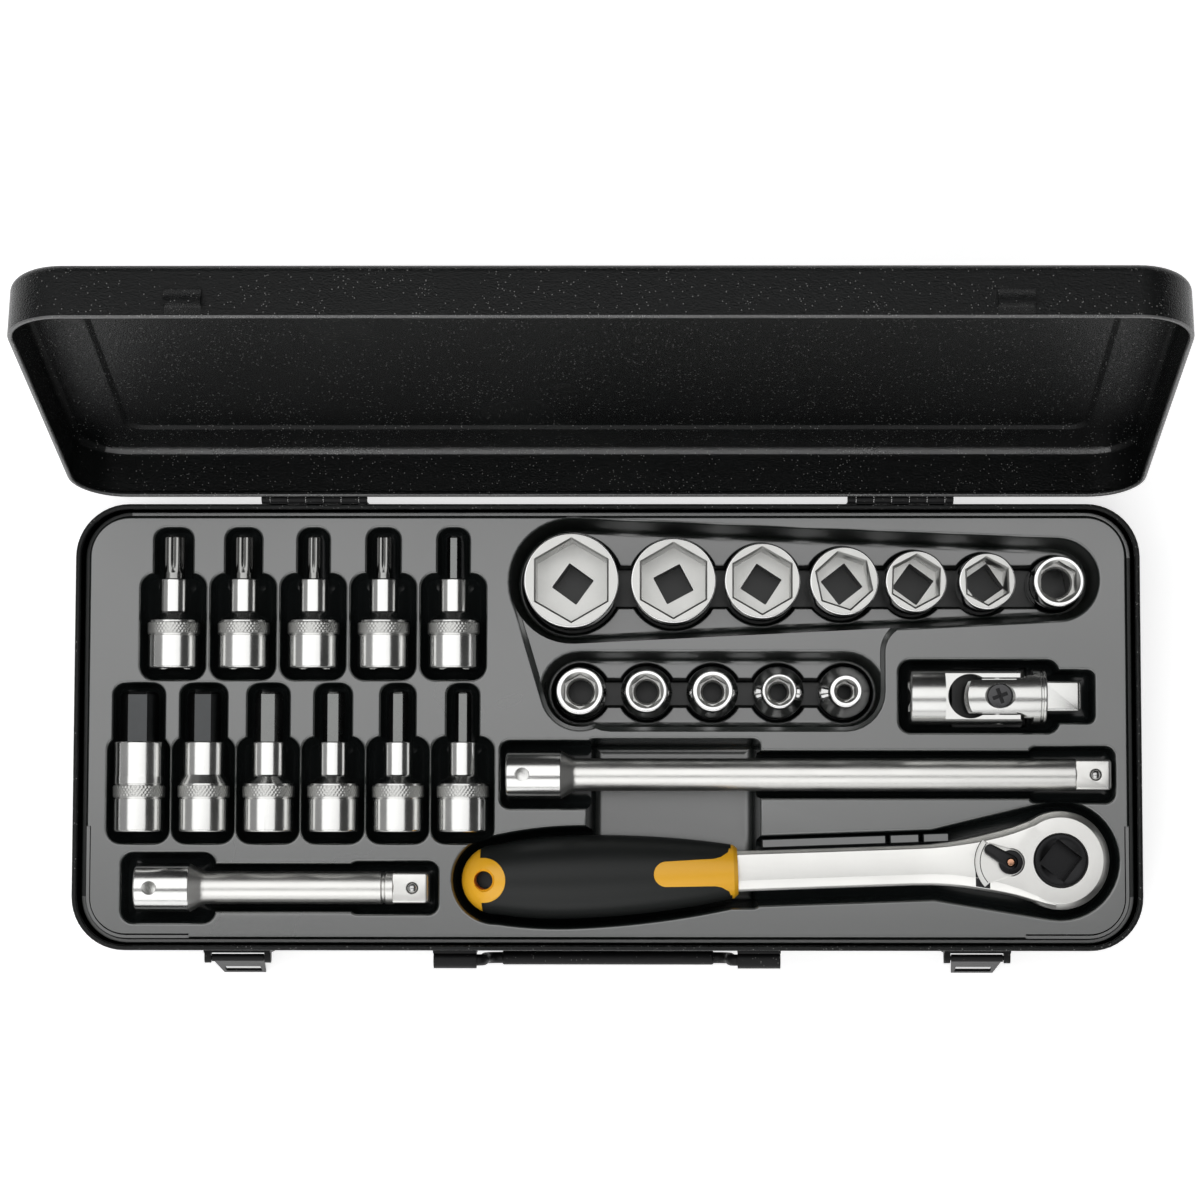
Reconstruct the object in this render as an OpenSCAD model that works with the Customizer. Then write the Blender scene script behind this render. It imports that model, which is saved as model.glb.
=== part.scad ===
// Socket wrench set in a hinged sheet-metal case, 1/2 inch (12.7 mm) drive.
// +X right, +Y to the hinge side, +Z up; origin at the bottom centre of the case base.

/* [Layout] */
// Distance from the case's left side to the short bar
short_bar_in = 26; // [24:0.5:40]
// Distance from the case's front to the axis of the short bar
short_bar_y = 26.1; // [25.5:0.1:30]
// Space between the short bar and the ratchet's grip
bar_to_grip = 13.5; // [12:0.5:40]
// Distance from the middle of the ratchet's head to the case's right side
head_in_x = 34.5; // [33.5:0.1:45]
// Distance from the middle of the ratchet's head to the case's front
head_in_y = 37.8; // [36:0.1:42]
// Distance from the long bar's tip to the case's right side
long_bar_in = 12.7; // [12:0.1:20]
// Distance from the case's left side to the front row of screwdriver sockets
front_driver_in = 27; // [25:0.5:40]
// Space between the front row of screwdriver sockets and the long bar
driver_to_bar = 5.15; // [5:0.05:12]
// Distance from the case's left side to the back row of screwdriver sockets
back_driver_in = 41; // [25:0.5:46]
// Space between the back row of screwdriver sockets and the field of the sockets
driver_to_field = 10; // [6:0.5:20]
// Land behind the back row of screwdriver sockets
land_back = 9.9; // [8:0.1:14]
// Distance from the last back socket to the case's right side
back_socket_in = 34.25; // [26:0.25:40]
// Space between the field of the sockets and the case's back
field_in = 6.4; // [6.4:0.1:12]
// Distance from the universal joint to the case's right side
joint_in = 59.8; // [54:0.1:60]

/* [Case] */
// Height of the lower shell
base_h = 40; // [40:0.5:46]
// Height of the lid shell, without its raised panel
lid_h = 22.5; // [20:0.5:30]
// Sheet thickness of both shells
sheet = 1; // [0.8:0.1:1.4]
// Corner radius of the shells seen from above
corner_r = 22.5; // [16:0.5:26]
// Radius of the fold between wall and panel
fold_r = 4; // [2.5:0.5:6]
// Width of the folded hem along both rims
hem_w = 2.2; // [1.8:0.1:2.8]
// Height of the folded hem
hem_h = 2; // [1.5:0.1:4]
// Gap between the two rims when the lid is shut
rim_gap = 0.3; // [0.3:0.1:0.8]
// Angle to which the lid is open, from shut
lid_open = 106; // [90:1:112]
// Distance from the lid's walls to its raised panel
panel_inset = 24; // [20:1:40]
// Corner radius of the lid's raised panel
panel_corner = 8; // [4:1:16]
// Height of the lid's raised panel
panel_rise = 1.2; // [0.8:0.1:2]

/* [Hinges] */
// Distance of each hinge's middle from the case's side
hinge_in = 101; // [75:1:125]
// Length of a hinge along the case
hinge_w = 45; // [36:1:60]
// Distance of the hinge axis behind the back wall
hinge_off = 1.85; // [1.85:0.05:2.4]
// Radius of the hinge knuckles
knuckle_r = 1.5; // [1.35:0.05:1.5]
// Radius of the hinge pin
hinge_pin_r = 0.8; // [0.6:0.05:0.95]
// Thickness of the hinge leaves
leaf_t = 0.8; // [0.6:0.1:1]
// Height of a hinge leaf on the wall
leaf_h = 10; // [7:0.5:14]

/* [Latches] */
// Distance of each latch's middle from the case's side
latch_in = 69; // [50:1:95]
// Width of a latch's plate
latch_plate_w = 28; // [26:0.5:34]
// Width of a latch's lever at its pivot
latch_lever_w = 21.8; // [19:0.2:23]
// Length of a latch's lever
latch_lever_l = 28; // [26:0.5:28]
// Thickness of the lever and the plate
latch_t = 1.2; // [1:0.1:1.4]
// Height of the latch pivot below the base's rim
latch_drop = 12; // [11:0.5:12]
// Distance of the latch pivot in front of the wall
latch_off = 3.4; // [3.2:0.1:3.8]
// Angle through which the lever hangs open, from shut
latch_swing = 166; // [150:1:170]
// Height by which the lid's pressed catch stands out
catch_h = 3.2; // [2.8:0.1:3.4]

/* [Carry handle] */
// Distance of each bracket's middle from the case's middle
bracket_x = 64; // [50:1:80]
// Width of a bracket
bracket_w = 18; // [14:1:24]
// Distance of the handle's pivot in front of the wall
handle_off = 4.2; // [4:0.1:5]
// Height of the handle's pivot below the base's rim
handle_drop = 9; // [7:0.5:10]
// Length of the handle's arms
handle_arm = 25; // [20:0.5:26]
// Radius of the handle's rod
handle_rod_r = 2.4; // [2:0.1:2.6]
// Radius of the handle's grip
handle_grip_r = 3; // [2.6:0.1:3.2]

/* [Insert tray] */
// Height of the tray's land below the case's rim
tray_drop = 4; // [3:0.5:6]
// Wall thickness of the formed tray
tray_wall = 1.2; // [0.9:0.1:1.5]
// Distance from the outside of the case to the tray's land, left and right
land_inset_x = 6.6; // [6:0.1:8]
// Distance from the outside of the case to the tray's land, front and back
land_inset_y = 5; // [4.5:0.1:6]
// Depth of the tray's rim strip below its land
strip_drop = 2; // [1.5:0.1:3]
// Clearance between the tray and the case
tray_gap = 0.5; // [0.3:0.1:0.8]
// Clearance between a seated tool and the floor of its pocket
seat_gap = 0.3; // [0.3:0.05:0.6]
// Depth of the tool axes below the tray's land
axis_drop = 3; // [2:0.5:5]
// Depth of the sunk field around the sockets
field_drop = 2.5; // [2:0.5:4]
// Depth of the ledges that the socket wells are cut into
ledge_drop = 20; // [14:1:24]
// Height through which a tool is lifted out
lift_room = 60; // [50:5:80]

/* [Drive] */
// Side of the drive square
drive_sq = 12.7; // [12.6:0.05:12.8]
// Clearance around a male square in a female one, each side
drive_gap = 0.1; // [0.05:0.05:0.2]
// Length of a male square
drive_l = 14.5; // [13:0.5:16]
// Radius of the spring ball in a male square
ball_r = 2.4; // [2:0.1:2.8]
// Height by which the ball stands out
ball_out = 0.9; // [0.5:0.1:1]

/* [Sockets] */
// Diameter of the drive end of the small sockets
socket_base_d = 22; // [21:0.5:23]
// Length of the small sockets
socket_l = 38; // [36:0.5:40]
// Depth of the square in a small socket
socket_sq_l = 16; // [14:0.5:17]
// Chamfer at the mouth of the hexagon
mouth_chamfer = 1; // [0.5:0.1:1.2]
// Clearance around a socket in its well
well_gap = 1.5; // [1:0.1:2]

/* [Screwdriver sockets] */
// Diameter of the holders
holder_d = 22.2; // [21.6:0.2:23]
// Length of the holders
holder_l = 38; // [36:0.5:40]
// Distance from the holder's drive end to the grip band
band_at = 14.5; // [13:0.5:16]
// Width of the grip band
band_w = 5; // [4:0.5:6]
// Diameter of the neck of a small holder
neck_d = 12.4; // [12:0.2:13]
// Overall length of the screwdriver sockets in the back row
back_l = 56; // [52:1:58]
// Overall length of the screwdriver sockets in the front row
front_l = 59; // [55:1:60]
// Space around a holder in its pocket
pocket_side = 2.7; // [2:0.1:3]
// Space between two pockets of the back row
back_rib = 2.1; // [1.5:0.1:3]

/* [Extension bars] */
// Length of the long extension bar
long_l = 255; // [245:1:258]
// Length of the short extension bar
short_l = 124; // [118:1:127]
// Diameter of the bars
bar_d = 13.8; // [12.8:0.1:14]
// Diameter of the female end
bar_end_d = 20.5; // [20:0.1:22]
// Length of the female end
bar_end_l = 23; // [20:0.5:25]

/* [Universal joint] */
// Diameter of the two yokes
yoke_d = 23.6; // [23:0.2:24]
// Distance from the joint's centre to the socket end
yoke_socket_l = 37.5; // [36:0.5:39]
// Distance from the joint's centre to the shoulder of the male square
yoke_drive_l = 20; // [18.5:0.5:21]
// Side of the centre block
block_s = 14.6; // [14:0.1:15]
// Width of the yokes' ears
ear_w = 13.6; // [13:0.1:14]
// Radius of the two pins
uj_pin_r = 2.6; // [2.2:0.1:3]
// Clearance between block and yoke ears
ear_gap = 0.6; // [0.4:0.05:0.6]

/* [Ratchet] */
// Radius of the head
head_r = 20.7; // [20:0.1:21.5]
// Thickness of the head
head_t = 18; // [17:0.5:19]
// Distance from the head's centre to the end of the ferrule
shank_l = 135.5; // [130:0.5:140]
// Width of the shank
shank_w = 17; // [15:0.5:19]
// Thickness of the shank
shank_t = 12.5; // [11:0.5:14]
// Distance from the head's centre to the grip's end
ratchet_l = 252; // [244:1:254]
// Largest radius of the grip
grip_r = 17.5; // [16:0.1:17.8]
// Radius of the grip at the ferrule
ferrule_r = 11; // [10:0.1:12]
// Radius of the hanging hole
hang_r = 3.9; // [3:0.1:4.5]
// Angle at which the ratchet lies in the case
ratchet_turn = 2; // [1.5:0.1:2.5]
// Radius of the wheel's collars
wheel_r = 11; // [10.5:0.1:11.5]
// Number of teeth on the wheel
teeth = 36; // [36:12:72]
// Distance from the head's centre to the reversing lever's pivot
lever_at = 21; // [20.5:0.1:22]
// Length of the reversing lever
lever_l = 12.4; // [10:0.2:12.5]
// Angle of the lever from the handle's line, on each side
lever_half = 33; // [25:1:35]

/* [Hidden] */
$fn = 48;
fine = 720;      // facets of a very large circle
eps = 0.01;      // overlap that joins touching solids
hair = 0.03;     // depth by which a tapered shape's straight sides cut into its circles
cut = 1;         // overshoot of a cutting tool
fit = 0.05;      // radial running fit of pins in their bores
air = 0.4;       // free space between moving parts
glue_gap = 0.05; // gap around a fixed insert

tray_top = base_h - tray_drop;
tool_z = tray_top - axis_drop;
tray_low = sheet + tray_wall;             // deepest floor of the tray
socket_z = tray_low + seat_gap;           // where the sockets stand
ledge_z = tray_top - ledge_drop;
strip_inset = hem_w + tray_gap;           // outer edge of the tray
drive_hole = drive_sq + 2 * drive_gap;

// Back row of sockets: [size, outer diameter, length, gap before, hexagon angle, square angle]
BACK_SOCKETS = [
    [30, 40, 44, 0, 30, -36],
    [27, 36, 42, 5, 30, 28],
    [24, 32, 41, 3.5, 30, -33],
    [21, 29, 40, 4, 42, 38],
    [19, 26, 38, 3, 28, -36],
    [17, 24, 38, 5, 32, 35],
    [15, 21.5, 38, 7.5, 30, 10]];
// Front row of sockets: [size, nose diameter, hexagon angle]
FRONT_SOCKETS = [
    [13, 19.8, 30],
    [12, 17.8, 36],
    [11, 17.2, 28],
    [10, 14.8, 33],
    [8, 13.8, 30]];
front_pitch = socket_base_d + 6.05;
front_shift = 3.5;                         // between the first sockets of the two rows

function back_x(i) = i == 0 ? 0
    : back_x(i - 1) + BACK_SOCKETS[i - 1][1] / 2 + BACK_SOCKETS[i][3] + BACK_SOCKETS[i][1] / 2;

// Back row of screwdriver sockets: [profile, size across, neck diameter]
BACK_DRIVERS = [
    ["lobe", 8.8, neck_d],
    ["lobe", 7.8, neck_d],
    ["lobe", 5.5, neck_d],
    ["lobe", 6.6, neck_d],
    ["hex", 5, neck_d]];
// Front row of screwdriver sockets: [profile, size across, neck diameter]
FRONT_DRIVERS = [
    ["hex", 14, holder_d - 1],
    ["hex", 12, neck_d + 5.2],
    ["hex", 10, neck_d + 2],
    ["hex", 8, neck_d],
    ["hex", 7, neck_d],
    ["hex", 6, neck_d]];
pocket_w = holder_d + 2 * pocket_side;
back_pitch = pocket_w + back_rib;
narrow_side = 2.55;                        // space around a holder in the front row's pockets
front_rib = 1.1;
narrow_pocket_w = holder_d + 2 * narrow_side - 1;
driver_pitch = narrow_pocket_w + front_rib;
pocket_end = 4.8;                          // space behind a holder
pocket_tip = 3.6;                          // space beyond a bit
bar_pocket = 4;                            // space around a bar's ends
ledge_margin = 6.4;                        // space between the back sockets and their ledge's wall
front_margin = 5.5;                        // the same around the front sockets
head_room = 4.1;                           // space around the ratchet's head
field_r = BACK_SOCKETS[0][1] / 2 + ledge_margin;
front_field_r = socket_base_d / 2 + front_margin;
bar_half = bar_end_d / 2 + bar_pocket;

// The case is as wide and deep as its longest rows of tools.
front_driver_y = short_bar_y + bar_half + 4.35 + pocket_end;
back_driver_y = front_driver_y + front_l + pocket_tip + 1.6 + pocket_end;
long_bar_y = head_in_y + head_r + head_room + 11.1;
front_row_y = long_bar_y + bar_half + 4.35 + front_field_r;
back_row_y = front_row_y + front_field_r + 3.5 + field_r;
case_w = max(
    short_bar_in + short_l + bar_to_grip + ratchet_l + head_in_x,
    front_driver_in + 5 * driver_pitch + narrow_pocket_w / 2 + driver_to_bar + long_l + long_bar_in,
    back_driver_in + 4 * back_pitch + pocket_w / 2 + driver_to_field + field_r + back_x(6) + back_socket_in);
case_d = max(back_driver_y + back_l + pocket_tip + land_back, back_row_y + field_r + field_in);

x_left = -case_w / 2;
x_right = case_w / 2;
y_back = case_d / 2;
y_front = -case_d / 2;
hinge_x = x_right - hinge_in;
latch_x = x_right - latch_in;
hinge_y = y_back + hinge_off;
lid_z = base_h + rim_gap;

back_driver = [x_left + back_driver_in, y_front + back_driver_y];
front_driver = [x_left + front_driver_in, y_front + front_driver_y];
back_row = [x_right - back_socket_in - back_x(6), y_front + back_row_y];
front_row = [back_row[0] + front_shift, y_front + front_row_y];
long_bar = [x_right - long_bar_in - long_l, y_front + long_bar_y];
short_bar = [x_left + short_bar_in, y_front + short_bar_y];
joint_at = [x_right - joint_in, front_row[1] - 2.1];
ratchet_at = [x_right - head_in_x, y_front + head_in_y];
ratchet_z = tray_top - 5;

// ---------- plane shapes ----------

function polar(angle) = [cos(angle), sin(angle)];

// Rectangle with round corners, from its low to its high corner, grown by g.
module round_rect(low, high, r, g = 0) {
    w = high[0] - low[0] + 2 * g;
    h = high[1] - low[1] + 2 * g;
    c = min(r + g, w / 2 - eps, h / 2 - eps);
    translate([low[0] - g, low[1] - g]) {
        translate([c, 0]) square([w - 2 * c, h]);
        translate([0, c]) square([w, h - 2 * c]);
        for (x = [c, w - c], y = [c, h - c]) translate([x, y]) circle(c);
    }
}

// Outline of the case, moved inwards by an inset.
module case_outline(inset_x = 0, inset_y = 0) {
    round_rect([x_left + inset_x, y_front + inset_y], [x_right - inset_x, y_back - inset_y],
        corner_r - max(inset_x, inset_y));
}

// Two circles and straight sides between them, which cut in by a hair so that they meet each circle cleanly.
module tapered(a, ra, b, rb) {
    span = b - a;
    dir = atan2(span[1], span[0]);
    lean = acos((ra - rb) / norm(span));
    translate(a) circle(ra);
    translate(b) circle(rb);
    polygon([
        a + (ra - hair) * polar(dir + lean), a + (ra - hair) * polar(dir - lean),
        b + (rb - hair) * polar(dir - lean), b + (rb - hair) * polar(dir + lean)]);
}

module hexagon(across) { circle(d = across / cos(30), $fn = 6); }

// Six rounded lobes, as on a lobe-profile bit.
module six_lobes(across) {
    groove = across * 0.16;
    difference() {
        circle(d = across);
        for (a = [0:60:300]) rotate(a + 30) translate([across / 2 + groove * 0.18, 0]) circle(groove);
    }
}

// ---------- the two shells ----------

// A pan with its mouth up: outline inset, height, fold radius at the bottom.
module pan_solid(inset, low, high, r) {
    cx = case_w / 2 - corner_r;
    cy = case_d / 2 - corner_r;
    translate([0, 0, low + r]) linear_extrude(high - low - r) case_outline(inset, inset);
    translate([0, 0, low]) linear_extrude(r + eps) case_outline(inset + r, inset + r);
    for (x = [-cx, cx], y = [-cy, cy]) translate([x, y, low + r])
        rotate_extrude() translate([corner_r - inset - r, 0]) circle(r);
    for (y = [-1, 1]) translate([-cx, y * (case_d / 2 - inset - r), low + r])
        rotate([0, 90, 0]) cylinder(r = r, h = 2 * cx);
    for (x = [-1, 1]) translate([x * (case_w / 2 - inset - r), -cy, low + r])
        rotate([-90, 0, 0]) cylinder(r = r, h = 2 * cy);
}

// Folded hem around a rim whose edge is at a height.
module hem(edge) {
    translate([0, 0, edge - hem_h]) linear_extrude(hem_h) difference() {
        case_outline(sheet / 2, sheet / 2);
        case_outline(hem_w, hem_w);
    }
}

module case_base() {
    color([0.05, 0.05, 0.055]) {
        difference() {
            pan_solid(0, 0, base_h, fold_r);
            pan_solid(sheet, sheet, base_h + cut, fold_r - sheet);
        }
        hem(base_h);
    }
}

// The lid as it is when shut, in the case's own frame.
module shut_lid() {
    top = lid_z + lid_h;
    difference() {
        union() {
            difference() {
                union() {
                    lid_pan(0, top);
                    panel_block(0, top - eps, top + panel_rise);
                }
                lid_pan(sheet, top - sheet);
                panel_block(sheet, top - 2 * sheet, top + panel_rise - sheet);
            }
            hem(lid_z + hem_h);
            for (side = [-1, 1]) catch_bump(side);
        }
        for (side = [-1, 1]) catch_slot(side);
    }
}

// The pan upside down, with its rim at the lid's rim.
module lid_pan(inset, top) {
    mirror([0, 0, 1]) translate([0, 0, -top]) pan_solid(inset, 0, top - lid_z + (inset > 0 ? cut : 0),
        fold_r - inset);
}

module panel_block(inset, low, high) {
    edge = [x_right - panel_inset - inset, y_back - panel_inset - inset];
    translate([0, 0, low]) linear_extrude(high - low) round_rect(-edge, edge, panel_corner - inset);
}

// Pressed catches on the lid's front wall: a half-round bump with a slot under it.
catch_w = 14;
catch_z = lid_z + 4.2;      // lower edge of the bump
catch_l = 7.5;              // height of the bump
slot_l = 3;
module catch_bump(side) {
    r = (catch_h * catch_h + catch_l * catch_l) / (2 * catch_h);
    intersection() {
        translate([side * latch_x - catch_w / 2, y_front - catch_h + r, catch_z])
            rotate([0, 90, 0]) cylinder(r = r, h = catch_w, $fn = 96);
        translate([side * latch_x - catch_w / 2, y_front - catch_h, catch_z])
            cube([catch_w, catch_h + sheet / 2, catch_l]);
    }
}

module catch_slot(side) {
    translate([side * latch_x - catch_w / 2, y_front - cut, catch_z - slot_l])
        cube([catch_w, sheet + hem_w + cut, slot_l]);
}

module opened() {
    translate([0, hinge_y, lid_z - rim_gap / 2]) rotate([-lid_open, 0, 0])
        translate([0, -hinge_y, rim_gap / 2 - lid_z]) children();
}

module case_lid() {
    color([0.05, 0.05, 0.055]) opened() shut_lid();
}

// ---------- hinges ----------

hinge_z = base_h + rim_gap / 2;
segment = hinge_w / 6;
knuckle_gap = 0.15;

// One leaf per hinge, above the axis; odd segments belong to the base, even ones to the lid.
module hinge_leaf(side, odd) {
    ends = [0, 0.5, 1.5, 2.5, 3.5, 4.5, 5.5, 6];
    leaf_z = knuckle_r + air;
    translate([side * hinge_x - hinge_w / 2, 0, 0]) difference() {
        union() {
            translate([0, y_back, leaf_z]) cube([hinge_w, leaf_t, leaf_h]);
            for (i = [odd ? 1 : 0:2:6]) {
                x = ends[i] * segment + knuckle_gap;
                w = (ends[i + 1] - ends[i]) * segment - 2 * knuckle_gap;
                translate([x, y_back, rim_gap / 2]) cube([w, leaf_t, leaf_z - rim_gap / 2 + eps]);
                translate([x, hinge_y, 0]) rotate([0, 90, 0]) cylinder(r = knuckle_r, h = w);
            }
        }
        translate([-cut, hinge_y, 0]) rotate([0, 90, 0])
            cylinder(r = hinge_pin_r + fit, h = hinge_w + 2 * cut);
    }
}

module base_hinge_leaves() {
    color([0.09, 0.09, 0.095]) for (side = [-1, 1])
        translate([0, 0, hinge_z]) mirror([0, 0, 1]) hinge_leaf(side, true);
}

module lid_hinge_leaves() {
    color([0.09, 0.09, 0.095]) opened() for (side = [-1, 1])
        translate([0, 0, hinge_z]) hinge_leaf(side, false);
}

module hinge_pins() {
    color([0.6, 0.6, 0.6]) for (side = [-1, 1])
        translate([side * hinge_x - hinge_w / 2, hinge_y, hinge_z]) rotate([0, 90, 0])
            cylinder(r = hinge_pin_r, h = hinge_w);
}

// ---------- latches ----------

latch_z = base_h - latch_drop;
latch_y = y_front - latch_off;
latch_pin_r = 0.9;
latch_barrel_r = latch_t / 2 + 1;
latch_ear_r = latch_off - latch_t;
latch_plate_low = latch_z - 14;
latch_plate_h = 19;

module latch_plates() {
    ear_x = latch_lever_w / 2 + air;
    color([0.09, 0.09, 0.095]) for (side = [-1, 1]) translate([side * latch_x, 0, 0]) {
        translate([-latch_plate_w / 2, y_front - latch_t, latch_plate_low])
            cube([latch_plate_w, latch_t, latch_plate_h]);
        for (m = [0, 1]) mirror([m, 0, 0]) translate([ear_x, 0, 0]) {
            translate([0, latch_y, latch_z]) rotate([0, 90, 0])
                cylinder(r = latch_ear_r, h = latch_plate_w / 2 - ear_x);
            translate([0, latch_y, latch_z - latch_ear_r])
                cube([latch_plate_w / 2 - ear_x, latch_off - latch_t / 2, 2 * latch_ear_r]);
        }
        translate([-latch_plate_w / 2, latch_y, latch_z]) rotate([0, 90, 0])
            cylinder(r = latch_pin_r, h = latch_plate_w);
    }
}

// The lever as it is when shut, pointing up, with its pivot at the origin.
module shut_lever() {
    tip_w = latch_lever_w * 0.82;
    window_w = catch_w + 1.4;
    window_low = catch_z - latch_z - 1;
    window_high = catch_z + catch_l - latch_z + 1;
    difference() {
        union() {
            rotate([90, 0, 0]) translate([0, 0, -latch_t / 2]) linear_extrude(latch_t) polygon([
                [-latch_lever_w / 2, 0], [latch_lever_w / 2, 0],
                [tip_w / 2, latch_lever_l], [-tip_w / 2, latch_lever_l]]);
            translate([-latch_lever_w / 2, 0, 0]) rotate([0, 90, 0])
                cylinder(r = latch_barrel_r, h = latch_lever_w);
        }
        translate([-window_w / 2, -latch_t, window_low])
            cube([window_w, 2 * latch_t, window_high - window_low]);
        translate([-latch_lever_w, 0, 0]) rotate([0, 90, 0])
            cylinder(r = latch_pin_r + fit, h = 2 * latch_lever_w);
    }
}

module latch_lever(side) {
    color([0.1, 0.1, 0.105]) translate([side * latch_x, latch_y, latch_z])
        rotate([latch_swing, 0, 0]) shut_lever();
}

// ---------- carry handle ----------

handle_z = base_h - handle_drop;
handle_y = y_front - handle_off;
bracket_t = 1.2;
bracket_h = 16;                            // height of a bracket's plate
bracket_below = 9;                         // its reach below the handle's pivot
bracket_r = handle_rod_r + fit + 1.1;
arm_x = bracket_x - bracket_w / 2 - air - handle_rod_r;
elbow_r = 6;
grip_half = arm_x - elbow_r - 1;

module handle_brackets() {
    color([0.09, 0.09, 0.095]) for (side = [-1, 1])
        translate([side * bracket_x - bracket_w / 2, 0, 0]) difference() {
            union() {
                translate([0, y_front - bracket_t, handle_z - bracket_below])
                    cube([bracket_w, bracket_t, bracket_h]);
                translate([0, handle_y, handle_z]) rotate([0, 90, 0])
                    cylinder(r = bracket_r, h = bracket_w);
                translate([0, handle_y, handle_z - bracket_r])
                    cube([bracket_w, handle_off - bracket_t / 2, bracket_t]);
            }
            translate([-cut, handle_y, handle_z]) rotate([0, 90, 0])
                cylinder(r = handle_rod_r + fit, h = bracket_w + 2 * cut);
        }
}

module carry_handle() {
    stub = bracket_w - 3;
    color([0.07, 0.07, 0.075]) translate([0, handle_y, handle_z]) for (m = [0, 1]) mirror([m, 0, 0]) {
        translate([arm_x, 0, 0]) {
            rotate([0, 90, 0]) cylinder(r = handle_rod_r, h = stub);
            sphere(handle_rod_r);
            translate([0, 0, elbow_r - handle_arm]) cylinder(r = handle_rod_r, h = handle_arm - elbow_r);
            translate([-elbow_r, 0, elbow_r - handle_arm]) rotate([90, 0, 0])
                rotate_extrude(angle = -90) translate([elbow_r, 0]) circle(handle_rod_r);
        }
        translate([0, 0, -handle_arm]) rotate([0, 90, 0]) {
            cylinder(r = handle_rod_r, h = arm_x - elbow_r + eps);
            cylinder(r = handle_grip_r, h = grip_half);
        }
    }
}

// ---------- insert tray ----------

driver_floor = tool_z - holder_d / 2 - seat_gap;
bar_floor = tool_z - bar_end_d / 2 - seat_gap;
joint_floor = tool_z - yoke_d / 2 - seat_gap;
head_floor = ratchet_z - head_t / 2 - seat_gap;
wheel_proud = 0.3;                         // height of the wheel's collars above the head's faces
square_floor = head_floor - wheel_proud - drive_l;
grip_floor = ratchet_z - grip_r - seat_gap;
strip_z = tray_top - strip_drop;
bit_rise = 2.5;                            // step up from a holder's floor to its bit's floor
bit_side = 3.8;                            // space beside a bit
holder_front = 2.2;                        // space before a holder's shoulder
finger_w = 72.9;                           // finger recess across the long bar and the grip
finger_in = 70.75;                         // from the long bar's end to the recess's middle
finger_at = long_bar[0] + finger_in;
finger_x = [finger_at - finger_w / 2, finger_at + finger_w / 2];
finger_drop = 24;
shank_side = 6;                            // space beside the ratchet's shank
wheel_side = 1.4;                          // space around the ratchet's wheel in its well
grip_side = 3.6;                           // space around the grip
ear_reach = 13.5;                          // reach of a yoke's ears beyond the joint's centre
relief_drop = 7;                           // deeper floor under the universal joint's ears
joint_side = 3.5;                          // space beside the universal joint
joint_ends = [4.4, 6];                     // space before and behind the universal joint
cell_gap = 0.02;                           // saw cut between two cells of one piece

// A cavity from a floor up through the land; the cups around it stop at the land.
module well(floor, g) {
    top = g > 0 ? tray_top - eps : tray_top + cut;
    translate([0, 0, floor - g]) linear_extrude(top - floor + g) children();
}

module driver_wells(at, pitch, drivers, w, length, g) {
    for (i = [0:len(drivers) - 1]) {
        x = at[0] + i * pitch;
        narrow = max(neck_d + 1, drivers[i][1] + 2 * bit_side) / 2;
        shoulder = at[1] + holder_l + holder_front;
        well(driver_floor, g) round_rect([x - w / 2, at[1] - pocket_end], [x + w / 2, shoulder], 6, g);
        well(driver_floor + bit_rise, g)
            round_rect([x - narrow, shoulder - 12], [x + narrow, at[1] + length + pocket_tip], 5, g);
    }
}

module field_outline(g) {
    last_x = front_row[0] + 4 * front_pitch + front_field_r;
    bend = 12;
    tapered(back_row, field_r + g, front_row, front_field_r + g);
    round_rect([back_row[0], front_row[1] - front_field_r], [last_x, back_row[1]], front_field_r, g);
    difference() {
        translate([last_x + g - eps, front_row[1] + front_field_r]) square([bend - g, bend]);
        translate([last_x + bend, front_row[1] + front_field_r]) circle(bend - g);
    }
}

module socket_wells(g) {
    n = len(BACK_SOCKETS) - 1;
    last = [back_row[0] + back_x(n), back_row[1] + 1];
    row = [4 * front_pitch, 0];
    well(tray_top - field_drop, g) field_outline(g);
    well(ledge_z, g) tapered(back_row, field_r + g, last, BACK_SOCKETS[n][1] / 2 + ledge_margin + g);
    well(ledge_z, g) round_rect(front_row - [front_field_r, front_field_r],
        front_row + row + [front_field_r, front_field_r], front_field_r, g);
    for (i = [0:n]) well(tray_low, g) translate([back_row[0] + back_x(i), back_row[1]])
        circle(BACK_SOCKETS[i][1] / 2 + well_gap + g);
    for (i = [0:4]) well(tray_low, g) translate(front_row + [i * front_pitch, 0])
        circle(socket_base_d / 2 + well_gap + g);
    well(tray_low, g) round_rect(back_row - [0, 10], last + [0, 7], 2, g);
    well(tray_low, g) round_rect(front_row - [0, 6], front_row + row + [0, 6], 2, g);
}

module bar_wells(g) {
    long_end = long_bar[0] + long_l;
    short_end = short_bar[0] + short_l;
    slim = bar_d / 2 + 3;
    tip = drive_sq / 2 + 5.4;
    snug = bar_half + 0.4;
    well(bar_floor, g) round_rect(long_bar - [2.3, bar_half], [finger_x[0] + 6, long_bar[1] + bar_half], 4, g);
    well(bar_floor, g) round_rect([finger_x[1] - 6, long_bar[1] - slim],
        [long_end - 20, long_bar[1] + slim], 3, g);
    well(bar_floor, g) round_rect([long_end - 35, long_bar[1] - tip],
        [long_end + 1.6, long_bar[1] + tip], 4, g);
    well(tray_top - finger_drop, g) round_rect([finger_x[0], ratchet_at[1] - 20],
        [finger_x[1], long_bar[1] + bar_half + 0.8], 3, g);
    well(bar_floor, g) round_rect(short_bar - [5.6, snug], [short_bar[0] + 34, short_bar[1] + snug], 5, g);
    well(bar_floor, g) round_rect([short_bar[0] + 24, short_bar[1] - slim],
        [short_end - 24, short_bar[1] + slim], 5, g);
    well(bar_floor, g) round_rect([short_end - 34, short_bar[1] - tip + 0.8],
        [short_end + 3.8, short_bar[1] + tip - 0.8], 4, g);
}

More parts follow.
